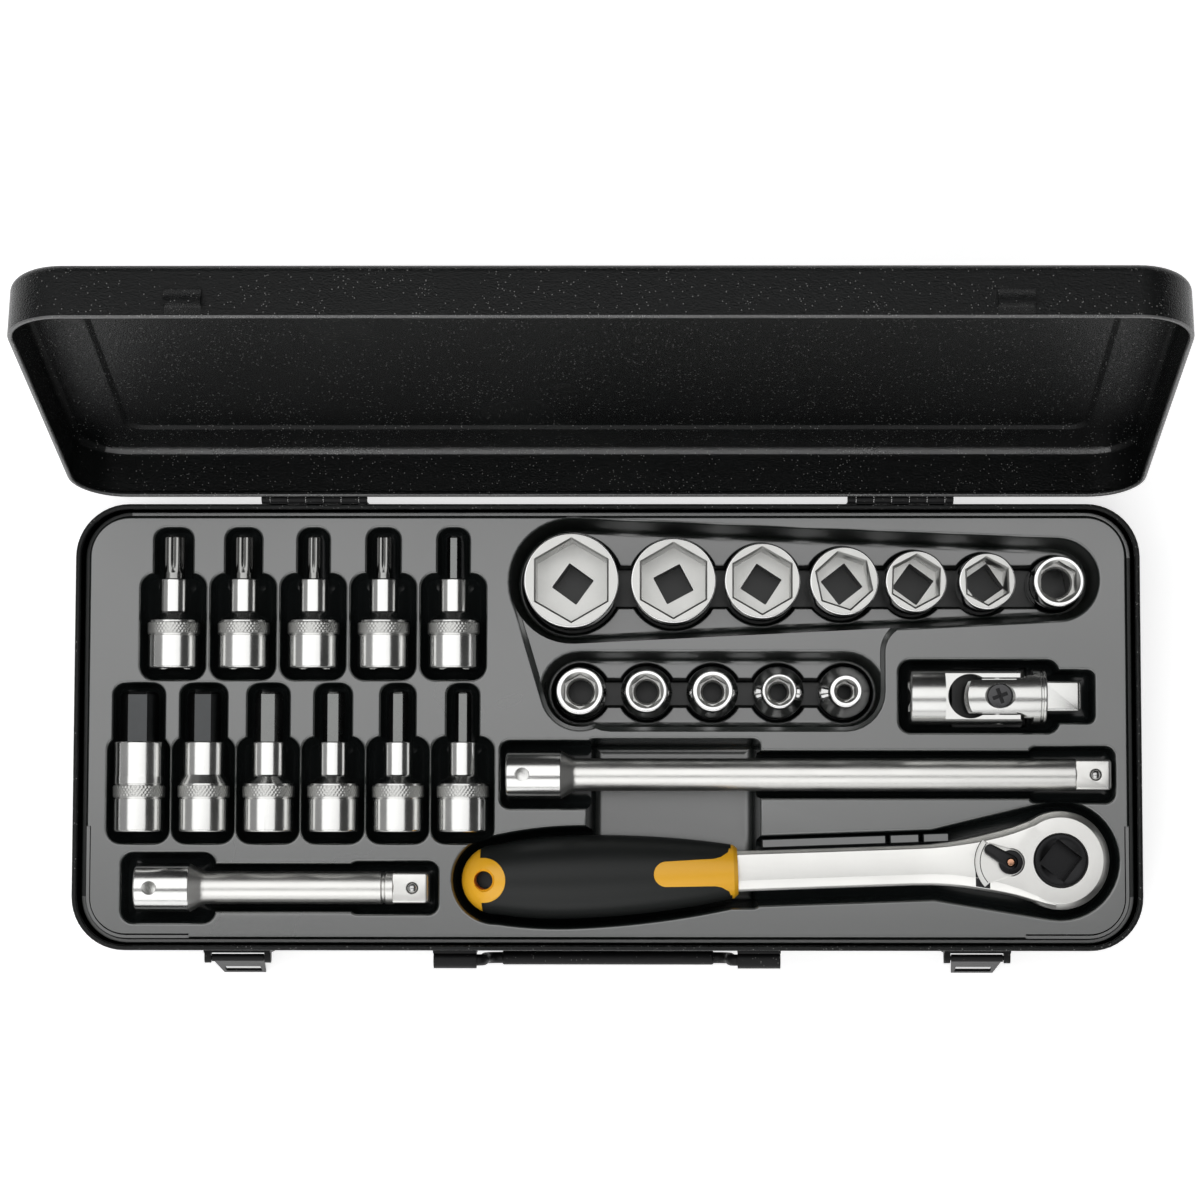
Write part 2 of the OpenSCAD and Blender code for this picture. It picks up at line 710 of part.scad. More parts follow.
module joint_wells(g) {
    wide = yoke_d / 2 + joint_side;
    slim = drive_sq / 2 + 4.7;
    shoulder = joint_at[0] + yoke_drive_l + 5.4;
    well(joint_floor, g) round_rect(joint_at - [yoke_socket_l + joint_ends[0], wide],
        [shoulder, joint_at[1] + wide], 5, g);
    well(joint_floor, g) round_rect([shoulder - 12, joint_at[1] - slim],
        [joint_at[0] + yoke_drive_l + drive_l + joint_ends[1], joint_at[1] + slim], 3, g);
    well(joint_floor - relief_drop, g) round_rect(joint_at - [ear_reach + 6, wide - 1],
        joint_at + [ear_reach, wide - 1], 3, g);
}

module in_ratchet_plan() {
    translate(ratchet_at) rotate(ratchet_turn) children();
}

module ratchet_wells(g) {
    channel = shank_w / 2 + shank_side;
    well(head_floor, g) in_ratchet_plan() {
        tapered([0, 0], head_r + head_room + g, [-52, 0], channel + g);
        round_rect([-shank_l - 6, -channel], [-50, channel], 3, g);
    }
    well(square_floor, g) in_ratchet_plan() circle(wheel_r + wheel_side + g);
    well(grip_floor, g) in_ratchet_plan() grip_plan(grip_side + g);
}

module wells(g) {
    driver_wells(back_driver, back_pitch, BACK_DRIVERS, pocket_w, back_l, g);
    driver_wells(front_driver, driver_pitch, FRONT_DRIVERS, narrow_pocket_w, front_l, g);
    socket_wells(g);
    bar_wells(g);
    joint_wells(g);
    ratchet_wells(g);
}

// A saw cut along X or Y between two points.
module saw(from, to) {
    translate([from[0] - cell_gap / 2, from[1] - cell_gap / 2, -cut])
        cube([to[0] - from[0] + cell_gap, to[1] - from[1] + cell_gap, tray_top + 2 * cut]);
}

// Cuts the tray into one cell per pocket, so that each cell is a simple shape.
// Saw cut between a pocket's floor and the well under it
module level_saw(from, to, floor) {
    translate([from[0], from[1], floor - tray_wall - 0.3]) cube([to[0] - from[0], to[1] - from[1], cell_gap]);
}

module cell_cuts() {
    middle = (front_driver[0] + 5 * driver_pitch + narrow_pocket_w / 2 + long_bar[0] - 2.3) / 2;
    drivers_y = front_driver[1] + front_l + pocket_tip + 0.8;
    short_y = front_driver[1] - pocket_end - 1.175;
    grip_y = long_bar[1] - bar_half - 4.45;
    bars_y = long_bar[1] + bar_half + 2.13;
    head_y = ratchet_at[1] + head_r + head_room - 0.2;
    sockets_y = front_row[1] + front_field_r + 1.75;
    short_x = short_bar[0] + short_l + bar_to_grip / 2;
    fingers = [finger_x[0] - 1.4, finger_x[1] + 1.4];
    joint_x = joint_at[0] - yoke_socket_l - joint_ends[0] - 3.1;
    channel_x = ratchet_at[0] - 3 * head_r;
    joint_wide = yoke_d / 2 + joint_side;
    joint_narrow = joint_at[0] + yoke_drive_l + 0.2;
    wheel_well = wheel_r + wheel_side + 2;
    saw([x_left, drivers_y], [middle, drivers_y]);
    saw([x_left, short_y], [middle, short_y]);
    saw([middle, short_y], [middle, y_back]);
    for (i = [0.5:1:3.5]) saw([back_driver[0] + i * back_pitch, drivers_y], [back_driver[0] + i * back_pitch, y_back]);
    for (i = [0.5:1:4.5]) saw([front_driver[0] + i * driver_pitch, short_y],
        [front_driver[0] + i * driver_pitch, drivers_y]);
    saw([short_x, y_front], [short_x, short_y]);
    saw([middle, grip_y], [fingers[0], grip_y]);
    for (x = fingers) saw([x, y_front], [x, bars_y]);
    saw([middle, bars_y], [x_right, bars_y]);
    saw([fingers[1], head_y], [x_right, head_y]);
    saw([channel_x, y_front], [channel_x, head_y]);
    saw([middle, sockets_y], [x_right, sockets_y]);
    for (i = [0.5:1:3.5]) saw([front_row[0] + i * front_pitch, bars_y],
        [front_row[0] + i * front_pitch, sockets_y]);
    saw([joint_x, bars_y], [joint_x, sockets_y]);
    saw([joint_narrow, bars_y], [joint_narrow, sockets_y]);
    saw([ratchet_at[0], y_front], [ratchet_at[0], head_y]);
    level_saw(joint_at - [ear_reach + 9, joint_wide + 3], joint_at + [ear_reach + 3, joint_wide + 3], joint_floor);
    level_saw(ratchet_at - [wheel_well, wheel_well], ratchet_at + [wheel_well, wheel_well], head_floor);
    for (i = [1:len(BACK_SOCKETS) - 1]) {
        x = back_row[0] + back_x(i) - BACK_SOCKETS[i][1] / 2 - BACK_SOCKETS[i][3] / 2;
        saw([x, sockets_y], [x, y_back]);
    }
}

// A flat ring of the tray between two insets of the case's outline.
module tray_ring(low, high, out_x, out_y, in_x, in_y) {
    translate([0, 0, low]) linear_extrude(high - low) difference() {
        case_outline(out_x, out_y);
        case_outline(in_x, in_y);
    }
}

module insert_tray() {
    color([0.36, 0.38, 0.37]) difference() {
        union() {
            translate([0, 0, tray_top - tray_wall]) linear_extrude(tray_wall)
                case_outline(land_inset_x, land_inset_y);
            tray_ring(strip_z - tray_wall, tray_top - eps, land_inset_x, land_inset_y,
                land_inset_x + tray_wall, land_inset_y + tray_wall);
            wells(tray_wall);
        }
        wells(0);
        cell_cuts();
    }
}

// The strip around the land and the skirt that stands in the case.
module tray_rim() {
    color([0.36, 0.38, 0.37]) {
        tray_ring(strip_z - tray_wall, strip_z, strip_inset, strip_inset,
            land_inset_x - cell_gap, land_inset_y - cell_gap);
        tray_ring(sheet + fold_r, strip_z - eps, strip_inset, strip_inset,
            strip_inset + tray_wall, strip_inset + tray_wall);
    }
}

// ---------- sockets ----------

// A socket standing on its drive end; big ones have a flat floor round the square.
module socket(size, d, length, base_d, base_l, square_l, hex_turn, square_turn) {
    through = size > 16;
    hex_floor = through ? square_l : length - 14;
    edge = 0.7;
    shoulder = base_l + abs(d - base_d) / 2 + 0.5;
    color([0.8, 0.8, 0.8]) difference() {
        rotate_extrude() polygon([
            [0, 0], [base_d / 2 - edge, 0], [base_d / 2, edge], [base_d / 2, base_l],
            [d / 2, shoulder], [d / 2, length - edge], [d / 2 - edge, length], [0, length]]);
        translate([0, 0, hex_floor]) rotate(hex_turn) linear_extrude(length) hexagon(size);
        translate([0, 0, length - mouth_chamfer]) cylinder(
            r1 = size / 2, r2 = size / sqrt(3) + 0.35, h = mouth_chamfer + eps);
        translate([0, 0, -cut]) rotate(square_turn) linear_extrude(square_l + cut + eps)
            square(drive_hole, center = true);
        if (!through) translate([0, 0, square_l - cut])
            cylinder(r = max(size / 2 - 1.2, 3.1), h = hex_floor - square_l + 2 * cut);
    }
}

module back_socket(i) {
    s = BACK_SOCKETS[i];
    small = s[1] < socket_base_d;
    translate([back_row[0] + back_x(i), back_row[1], socket_z])
        socket(s[0], s[1], s[2], small ? socket_base_d : s[1] * 0.9, small ? s[2] * 0.5 : s[2] * 0.35,
            small ? socket_sq_l : s[2] * 0.42, s[4], s[5]);
}

module front_socket(i) {
    s = FRONT_SOCKETS[i];
    translate([front_row[0] + i * front_pitch, front_row[1], socket_z])
        socket(s[0], s[1], socket_l, socket_base_d, socket_l * 0.55, socket_sq_l, s[2], 20);
}

// ---------- screwdriver sockets ----------

bit_depth = 14;              // length of a bit inside its holder
bit_base = holder_l - bit_depth;

module bit_profile(kind, across) {
    if (kind == "hex") hexagon(across);
    else circle(d = across);
}

// Lies with its drive end at the origin and its tip towards +Y.
module lying(at, row_z) {
    translate([at[0], at[1], row_z]) rotate([-90, 0, 0]) children();
}

module holder(driver) {
    body = holder_d / 2 - 0.35;
    neck = driver[2] / 2;
    band_end = band_at + band_w;
    grow = glue_gap * 2;
    color([0.78, 0.78, 0.78]) difference() {
        rotate_extrude() polygon([
            [0, 0], [body - 0.8, 0], [body, 0.8], [body, band_at - 0.3], [holder_d / 2, band_at],
            [holder_d / 2, band_end], [body, band_end + 0.3], [min(neck + 0.4, body), band_end + 3.6],
            [neck, band_end + 4.4], [neck, holder_l - 0.5], [neck - 0.5, holder_l], [0, holder_l]]);
        translate([0, 0, -cut]) linear_extrude(drive_l + 1 + cut) square(drive_hole, center = true);
        translate([0, 0, bit_base]) linear_extrude(bit_depth + cut)
            bit_profile(driver[0], driver[1] + grow);
    }
}

module bit(driver, length) {
    across = driver[1];
    wide = across / sqrt(3) + 0.5;
    tip = 0.8;
    color([0.45, 0.45, 0.46]) intersection() {
        union() {
            if (driver[0] == "hex") translate([0, 0, bit_base + glue_gap])
                linear_extrude(length - bit_base) hexagon(across);
            else {
                translate([0, 0, bit_base + glue_gap]) cylinder(d = across, h = bit_depth + 3);
                translate([0, 0, holder_l]) linear_extrude(length - holder_l) six_lobes(across);
            }
        }
        rotate_extrude() polygon([
            [0, bit_base], [wide, bit_base], [wide, length - tip - 0.5], [across / 2 - tip, length],
            [0, length]]);
    }
}

module back_driver_at(i) { lying([back_driver[0] + i * back_pitch, back_driver[1]], tool_z) children(); }

module front_driver_at(i) {
    lying([front_driver[0] + i * driver_pitch, front_driver[1]], tool_z) children();
}

// ---------- extension bars ----------

// Male square along +Z, with its spring ball facing -Y.
module male_square(length) {
    c = drive_sq / 2;
    ball_at = [0, -(c + ball_out - ball_r), length - 6.8];
    difference() {
        intersection() {
            linear_extrude(length) square(drive_sq, center = true);
            cylinder(r1 = c * sqrt(2) + length - 0.9, r2 = c * sqrt(2) - 0.9, h = length);
        }
        translate(ball_at) rotate([90, 0, 0]) translate([0, 0, -ball_r - 0.1])
            cylinder(r = ball_r + fit, h = 2 * ball_r + cut);
    }
    translate(ball_at) sphere(ball_r);
}

module square_socket(depth) {
    translate([0, 0, -cut]) linear_extrude(depth + cut) square(drive_hole, center = true);
}

// A bar along +X with its female end at the point given.
module extension(at, length) {
    end_r = bar_end_d / 2;
    r = bar_d / 2;
    shaft = length - drive_l;
    detent_at = 7;
    color([0.8, 0.8, 0.79]) translate([at[0], at[1], tool_z]) rotate([0, 90, 0]) {
        difference() {
            rotate_extrude() polygon([
                [0, 0], [end_r - 0.8, 0], [end_r, 0.8], [end_r, bar_end_l - 0.6],
                [end_r - 0.6, bar_end_l], [r, bar_end_l + 6], [r, shaft - 0.6], [r - 0.6, shaft],
                [0, shaft]]);
            square_socket(drive_l + 1);
            translate([0, 0, detent_at]) rotate([0, -90, 0]) cylinder(r = 2.9, h = end_r + cut);
            translate([-end_r, -end_r, bar_end_l + 6.3]) cube([2 * end_r, 2 * end_r, cell_gap]);
        }
        translate([0, 0, shaft - eps]) rotate(-90) male_square(drive_l + eps);
    }
}

module long_extension() { extension(long_bar, long_l); }
module short_extension() { extension(short_bar, short_l); }

// ---------- universal joint ----------

ear_in = block_s / 2 + ear_gap;      // half the gap between two ears
ear_half = ear_w / 2;
socket_web = 1.5;                    // metal between the drive square and the socket yoke's crotch
crotch = yoke_socket_l - drive_l - socket_web;
crotch_r = 9.4;                      // radius of the round crotch
drive_crotch = 14.4;                 // from the joint's centre to the drive yoke's web
flare_at = 6;                        // where the drive yoke's ears begin to widen
flare_r = 10;
screw_head_r = 5.2;
screw_head_t = 2.2;

module at_joint() { translate([joint_at[0], joint_at[1], tool_z]) children(); }

module joint_socket_yoke() {
    r = yoke_d / 2;
    color([0.82, 0.82, 0.82]) at_joint() difference() {
        union() {
            translate([-yoke_socket_l, 0, 0]) rotate([0, 90, 0])
                cylinder(r = r, h = yoke_socket_l - crotch);
            intersection() {
                translate([-crotch - eps, 0, 0]) rotate([0, 90, 0]) cylinder(r = r, h = crotch + r);
                union() {
                    rotate([90, 0, 0]) cylinder(r = r - 0.6, h = 2 * r, center = true);
                    translate([-crotch - eps, -r, -r]) cube([crotch + eps, 2 * r, 2 * r]);
                }
                translate([-crotch - eps, -r, -ear_half]) cube([2 * crotch, 2 * r, 2 * ear_half]);
            }
        }
        crotch_flat = crotch - crotch_r + sqrt(crotch_r * crotch_r - ear_in * ear_in);
        translate([-crotch_flat, -ear_in, -r - cut]) cube([2 * crotch, 2 * ear_in, 2 * (r + cut)]);
        translate([crotch_r - crotch, 0, 0]) cylinder(r = crotch_r, h = 2 * (r + cut), center = true);
        rotate([90, 0, 0]) cylinder(r = uj_pin_r + fit, h = 2 * r + cut, center = true);
        translate([-yoke_socket_l, 0, 0]) rotate([0, 90, 0]) square_socket(drive_l + socket_web / 3);
    }
}

// Block as wide as the ears that widens towards the drive end.
module ear_flanks(r) {
    rest = flare_r + ear_half;
    translate([0, 0, -r]) linear_extrude(2 * r) difference() {
        translate([-ear_reach, -r]) square([ear_reach + drive_crotch + eps, 2 * r]);
        for (m = [0, 1]) mirror([0, m]) {
            translate([-ear_reach - cut, ear_half]) square([ear_reach + cut + flare_at, r]);
            translate([flare_at, rest]) circle(flare_r);
        }
    }
}

module joint_drive_yoke() {
    r = yoke_d / 2;
    color([0.82, 0.82, 0.82]) at_joint() {
        difference() {
            union() {
                translate([drive_crotch, 0, 0]) rotate([0, 90, 0])
                    cylinder(r = r, h = yoke_drive_l - drive_crotch);
                intersection() {
                    translate([-ear_reach, 0, 0]) rotate([0, 90, 0])
                        cylinder(r = r, h = ear_reach + drive_crotch + eps);
                    union() {
                        cylinder(r = ear_reach, h = 2 * r, center = true);
                        translate([0, -r, -r]) cube([drive_crotch + eps, 2 * r, 2 * r]);
                    }
                    ear_flanks(r);
                }
            }
            translate([-2 * crotch, -r - cut, -ear_in])
                cube([2 * crotch + drive_crotch, 2 * (r + cut), 2 * ear_in]);
            cylinder(r = uj_pin_r + fit, h = 2 * r + cut, center = true);
            translate([0, 0, r - screw_head_t - 0.2])
                cylinder(r = screw_head_r + fit, h = screw_head_t + cut);
            translate([flare_at, -r, -r - cut]) cube([cell_gap, 2 * r, 2 * (r + cut)]);
        }
        translate([yoke_drive_l - eps, 0, 0]) rotate([0, 90, 0]) rotate(-90) male_square(drive_l + eps);
    }
}

module joint_block() {
    color([0.6, 0.6, 0.6]) at_joint() difference() {
        cube(block_s, center = true);
        cylinder(r = uj_pin_r + fit, h = 2 * block_s, center = true);
        rotate([90, 0, 0]) cylinder(r = uj_pin_r + fit, h = 2 * block_s, center = true);
    }
}

// Two short pins from the socket yoke's ears into the block.
module joint_cross_pin() {
    inner = uj_pin_r + air;
    color([0.5, 0.5, 0.5]) at_joint() for (m = [0, 1]) mirror([0, m, 0])
        translate([0, inner, 0]) rotate([-90, 0, 0])
            cylinder(r = uj_pin_r, h = yoke_d / 2 - 0.5 - inner);
}

// The long pin through the drive yoke, with a cross-recessed head on top.
module joint_screw_pin() {
    r = yoke_d / 2;
    color([0.14, 0.14, 0.15]) at_joint() difference() {
        union() {
            translate([0, 0, 0.6 - r]) cylinder(r = uj_pin_r, h = 2 * r - screw_head_t - 0.6);
            translate([0, 0, r - screw_head_t - 0.2 + fit]) cylinder(r = screw_head_r, h = screw_head_t);
        }
        for (a = [0, 90]) rotate(a) translate([-3, -0.6, r - 1.4]) cube([6, 1.2, 2]);
    }
}

// ---------- ratchet ----------

top = head_t / 2;
gear_low = -6.8;
gear_high = 4.6;
gear_tip = 14;
gear_bore = gear_tip + air;
cover_t = 1.8;
lever_sunk = 2.5;
pawl_r = lever_at - gear_tip - 0.6;
pawl_high = 3.4;
stem_r = 2.95;
lever_disc = 5.1;
lever_pin_r = 1.6;
cap_r = 14.6;
hang_at = ratchet_l - 9.6;
bulge_at = ratchet_l - 46;
rod_r = 9;
tang = [26, 10, 7];

// The head's centre at the origin, the handle along -X.
module at_ratchet() {
    translate([ratchet_at[0], ratchet_at[1], ratchet_z]) rotate(ratchet_turn) children();
}

function arc_r(run, rise) = (run * run + rise * rise) / (2 * rise);

// Half outline of the grip grown by g: radius along x, distance from the head along y.
module grip_half_outline(g = 0) {
    front_r = arc_r(bulge_at - shank_l, grip_r - ferrule_r);
    cap_at = ratchet_l - cap_r;
    back_r = arc_r(cap_at - bulge_at, grip_r - cap_r);
    intersection() {
        translate([grip_r - front_r, bulge_at]) circle(front_r + g, $fn = fine);
        translate([0, shank_l - g]) square([grip_r + g, bulge_at - shank_l + g]);
    }
    intersection() {
        translate([grip_r - back_r, bulge_at]) circle(back_r + g, $fn = fine);
        translate([0, bulge_at - eps]) square([grip_r + g, cap_at - bulge_at + 2 * eps]);
    }
    intersection() {
        translate([0, cap_at]) circle(cap_r + g, $fn = 96);
        square([cap_r + g, ratchet_l + g]);
    }
}

module grip_plan(g) {
    for (m = [0, 1]) mirror([0, m]) rotate(90) grip_half_outline(g);
}

module grip_solid() {
    rotate([0, -90, 0]) rotate_extrude($fn = 96) grip_half_outline();
}

module ratchet_body() {
    bore = wheel_r + fit;
    lever_room = lever_disc + air;
    color([0.8, 0.79, 0.77]) at_ratchet() difference() {
        union() {
            cylinder(r = head_r, h = head_t, center = true);
            translate([0, 0, -top]) linear_extrude(head_t) {
                tapered([-14, 0], 14.6, [-40, 0], 9.2);
                tapered([-40, 0], 9.2, [-58, 0], shank_w / 2 - 0.2);
            }
            translate([-shank_l, -shank_w / 2, -shank_t / 2]) cube([shank_l - 50, shank_w, shank_t]);
            translate([-shank_l - tang[0], -tang[1] / 2, -tang[2] / 2])
                cube([tang[0] + cut, tang[1], tang[2]]);
        }
        translate([0, 0, -top - cut]) cylinder(r = bore, h = head_t + 2 * cut);
        translate([0, 0, -top - cut]) cylinder(r = gear_bore, h = top + cut + gear_high + air);
        translate([0, 0, -top - cut]) linear_extrude(cut + cover_t) cover_outline(0.1);
        translate([-lever_at, 0, 0]) {
            translate([0, 0, -top - cut]) cylinder(r = pawl_r + air, h = top + cut + pawl_high + air);
            cylinder(r = stem_r + fit, h = head_t);
            translate([0, 0, top - lever_sunk]) linear_extrude(head_t) {
                circle(lever_room);
                intersection() {
                    circle(lever_l + 3.2);
                    fan(lever_half + 16, 40);
                }
                for (m = [0, 1]) mirror([0, m]) rotate(180 - lever_half) lever_arm(air);
            }
        }
    }
}

// A wedge that opens towards -X, as wide as an angle on each side.
module fan(half, reach) {
    polygon([[0, 0], for (a = [-half, 0, half]) reach * [-cos(a), sin(a)]]);
}

module cover_outline(g) {
    tapered([0, 0], gear_tip + 2.2 + g, [-lever_at, 0], pawl_r + 1.6 + g);
}

module ratchet_cover() {
    color([0.55, 0.55, 0.55]) at_ratchet() translate([0, 0, -top]) linear_extrude(cover_t - 0.1)
        difference() {
            cover_outline(0);
            circle(wheel_r + fit);
        }
}

module ratchet_wheel() {
    root = gear_tip - 0.9;
    step = 360 / teeth;
    recess = 11;
    color([0.1, 0.1, 0.1]) at_ratchet() {
        difference() {
            union() {
                translate([0, 0, gear_low]) linear_extrude(gear_high - gear_low) polygon([
                    for (i = [0:teeth - 1], k = [0, 1])
                        (k == 0 ? root : gear_tip) * [cos((i + k / 2) * step), sin((i + k / 2) * step)]]);
                translate([0, 0, -top - wheel_proud])
                    cylinder(r = wheel_r, h = head_t + 2 * wheel_proud);
            }
            translate([0, 0, top + wheel_proud - recess]) rotate(50) linear_extrude(head_t)
                square(drive_hole, center = true);
        }
        translate([0, 0, eps - top - wheel_proud]) mirror([0, 0, 1]) male_square(drive_l + eps);
    }
}

module lever_arm(g) { tapered([0, 0], 3.1 + g, [lever_l - 2.4, 0], 2.4 + g); }

module reverse_lever() {
    pawl_low = cover_t + air - top;
    color([0.12, 0.12, 0.12]) at_ratchet() translate([-lever_at, 0, 0]) difference() {
        union() {
            translate([0, 0, pawl_low]) linear_extrude(pawl_high - pawl_low) intersection() {
                circle(pawl_r);
                rotate(-lever_half) mirror([1, 0]) fan(38, 20);
            }
            translate([0, 0, pawl_low]) cylinder(r = stem_r, h = top - pawl_low);
            translate([0, 0, top - lever_sunk + 0.1]) cylinder(r = lever_disc, h = lever_sunk + 0.4);
            rotate(180 - lever_half) translate([0, 0, top - lever_sunk + 0.3])
                linear_extrude(lever_sunk + 0.6) lever_arm(0);
        }
        translate([0, 0, top - 1]) cylinder(r = lever_pin_r + fit, h = 2);
    }
}

module lever_pin() {
    color([0.72, 0.45, 0.3]) at_ratchet() translate([-lever_at, 0, top - 1 + fit])
        cylinder(r = lever_pin_r, h = 1.6);
}

// Where the yellow core reaches the grip's surface.
module core_zone() {
    reach = 2 * grip_r;
    translate([-hang_at, 0, 0]) cylinder(r = 9.4, h = reach, center = true);
    translate([-ratchet_l - cut, -grip_r, -grip_r]) cube([8.5 + cut, reach, reach]);
    translate([-shank_l - 8, -grip_r, -grip_r]) cube([8 + cut, reach, reach]);
    for (m = [0, 1]) mirror([0, 0, m]) translate([0, 0, rod_r - 1]) linear_extrude(grip_r)
        tapered([-shank_l - 30, 0], 5.3, [-shank_l - 6, 0], 5.8);
}

module grip_core() {
    color([0.94, 0.7, 0.2]) at_ratchet() difference() {
        intersection() {
            grip_solid();
            union() {
                translate([-hang_at, 0, 0]) rotate([0, 90, 0])
                    cylinder(r = rod_r, h = hang_at - shank_l);
                core_zone();
            }
        }
        translate([-hang_at, 0, 0]) cylinder(r = hang_r, h = 3 * grip_r, center = true);
        translate([-shank_l - tang[0] - glue_gap, -tang[1] / 2 - glue_gap, -tang[2] / 2 - glue_gap])
            cube([tang[0] + cut, tang[1] + 2 * glue_gap, tang[2] + 2 * glue_gap]);
    }
}

module grip_sleeve() {
    color([0.14, 0.145, 0.14]) at_ratchet() difference() {
        grip_solid();
        translate([-hang_at - cut, 0, 0]) rotate([0, 90, 0])
            cylinder(r = rod_r, h = hang_at - shank_l + 2 * cut);
        core_zone();
    }
}

// ---------- nodes ----------

case_base();
base_hinge_leaves();
hinge_pins();
latch_plates();
handle_brackets();
insert_tray();
tray_rim();
case_lid();
lid_hinge_leaves();
latch_lever(-1);  // latch_lever_left
latch_lever(1);  // latch_lever_right
carry_handle();
back_socket(0);  // socket_30
back_socket(1);  // socket_27
back_socket(2);  // socket_24
back_socket(3);  // socket_21
back_socket(4);  // socket_19
back_socket(5);  // socket_17
back_socket(6);  // socket_15
front_socket(0);  // socket_13
front_socket(1);  // socket_12
front_socket(2);  // socket_11
front_socket(3);  // socket_10
front_socket(4);  // socket_8
back_driver_at(0) holder(BACK_DRIVERS[0]);  // lobe_holder_1
back_driver_at(1) holder(BACK_DRIVERS[1]);  // lobe_holder_2
back_driver_at(2) holder(BACK_DRIVERS[2]);  // lobe_holder_3
back_driver_at(3) holder(BACK_DRIVERS[3]);  // lobe_holder_4
back_driver_at(4) holder(BACK_DRIVERS[4]);  // hex_holder_5
front_driver_at(0) holder(FRONT_DRIVERS[0]);  // hex_holder_14
front_driver_at(1) holder(FRONT_DRIVERS[1]);  // hex_holder_12
front_driver_at(2) holder(FRONT_DRIVERS[2]);  // hex_holder_10
front_driver_at(3) holder(FRONT_DRIVERS[3]);  // hex_holder_8
front_driver_at(4) holder(FRONT_DRIVERS[4]);  // hex_holder_7
front_driver_at(5) holder(FRONT_DRIVERS[5]);  // hex_holder_6
back_driver_at(0) bit(BACK_DRIVERS[0], back_l);  // lobe_bit_1
back_driver_at(1) bit(BACK_DRIVERS[1], back_l);  // lobe_bit_2
back_driver_at(2) bit(BACK_DRIVERS[2], back_l);  // lobe_bit_3
back_driver_at(3) bit(BACK_DRIVERS[3], back_l);  // lobe_bit_4
back_driver_at(4) bit(BACK_DRIVERS[4], back_l);  // hex_bit_5
front_driver_at(0) bit(FRONT_DRIVERS[0], front_l);  // hex_bit_14
front_driver_at(1) bit(FRONT_DRIVERS[1], front_l);  // hex_bit_12
front_driver_at(2) bit(FRONT_DRIVERS[2], front_l);  // hex_bit_10
front_driver_at(3) bit(FRONT_DRIVERS[3], front_l);  // hex_bit_8
front_driver_at(4) bit(FRONT_DRIVERS[4], front_l);  // hex_bit_7
front_driver_at(5) bit(FRONT_DRIVERS[5], front_l);  // hex_bit_6
long_extension();
short_extension();
joint_socket_yoke();
joint_drive_yoke();
joint_block();
joint_cross_pin();
joint_screw_pin();
ratchet_body();
ratchet_cover();
ratchet_wheel();
reverse_lever();
lever_pin();
grip_core();
grip_sleeve();
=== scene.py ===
"""Socket wrench set in its open sheet-metal case: shapes, finishes, studio light and camera."""
import math

import bmesh
import bpy
from mathutils import Matrix, Vector


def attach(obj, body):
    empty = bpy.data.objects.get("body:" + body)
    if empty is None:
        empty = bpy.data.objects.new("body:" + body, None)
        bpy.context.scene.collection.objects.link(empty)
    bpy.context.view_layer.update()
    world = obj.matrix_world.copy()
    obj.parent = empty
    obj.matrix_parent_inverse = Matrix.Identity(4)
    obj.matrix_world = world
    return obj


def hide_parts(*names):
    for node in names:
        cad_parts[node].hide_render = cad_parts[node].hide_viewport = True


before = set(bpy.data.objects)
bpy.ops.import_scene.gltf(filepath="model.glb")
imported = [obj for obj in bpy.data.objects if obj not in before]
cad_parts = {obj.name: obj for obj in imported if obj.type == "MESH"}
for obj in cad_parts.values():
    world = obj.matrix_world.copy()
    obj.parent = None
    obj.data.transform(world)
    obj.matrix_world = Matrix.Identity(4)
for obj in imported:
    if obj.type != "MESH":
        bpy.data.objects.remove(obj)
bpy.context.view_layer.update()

MM = 0.001
RIGHT = math.pi / 2
TURN = 2 * math.pi

# ---------- sizes shared by the pieces, in millimetres ----------

CASE_HALF = (225.0, 94.0)
CASE_CORNER = 22.5
BASE_H = 40.0
LID_Z = 40.3
LID_H = 22.5
LID_OPEN = 106.0                 # degrees
HINGE_AXIS = (95.85, 40.15)
HANDLE_AXIS = (-98.2, 31.0)
CATCH_X = 156.0
SHEET = 1.0
HEM = 2.2

LAND = 36.0                      # top of the tray
STRIP = 34.0                     # its rim strip
FIELD = 33.5                     # sunk field around the sockets
LEDGE = 16.0
WELL_FLOOR = 2.2
WALL = 1.2
FINGER_X = (-8.4, 64.5)          # finger recess
FINGER_DROP = 24.0
SEAT_GAP = 0.3                   # between a tool and the floor of its pocket
WELL_GAP = 1.5                   # around a socket in its well
SOCKET_Z = 2.5                   # where the sockets stand
TOOL_Z = 33.0                    # axis of the lying tools

SQUARE = 12.7
SQUARE_HOLE = 12.9
DRIVE_L = 14.5
BALL_R = 2.4

BACK_ROW = (-15.0, 61.2)
FRONT_ROW = (-11.5, 14.8)
FRONT_PITCH = 28.05
FRONT_END = FRONT_ROW[0] + 4 * FRONT_PITCH
BACK_R, FRONT_R, LAST_R = 26.4, 16.5, 17.15     # the field's ends around the sockets
BASE_D = 22.0                    # drive end of the small sockets
SMALL_L = 38.0
HOLDER_R, HOLDER_BODY_R, HOLDER_L = 11.1, 10.75, 38.0
BAND = (14.5, 19.5)              # the holders' knurled band, from their drive end
BIT_START = 24.1
NECK = 12.4

LONG_BAR = (-42.7, -20.3)
SHORT_BAR = (-199.0, -67.9)
LONG_L = 255.0
SHORT_L = 124.0
BAR_END_R, BAR_R = 10.25, 6.9
JOINT = (165.2, 12.7)
YOKE_R = 11.8
YOKE_BACK, YOKE_FRONT = 37.5, 20.0

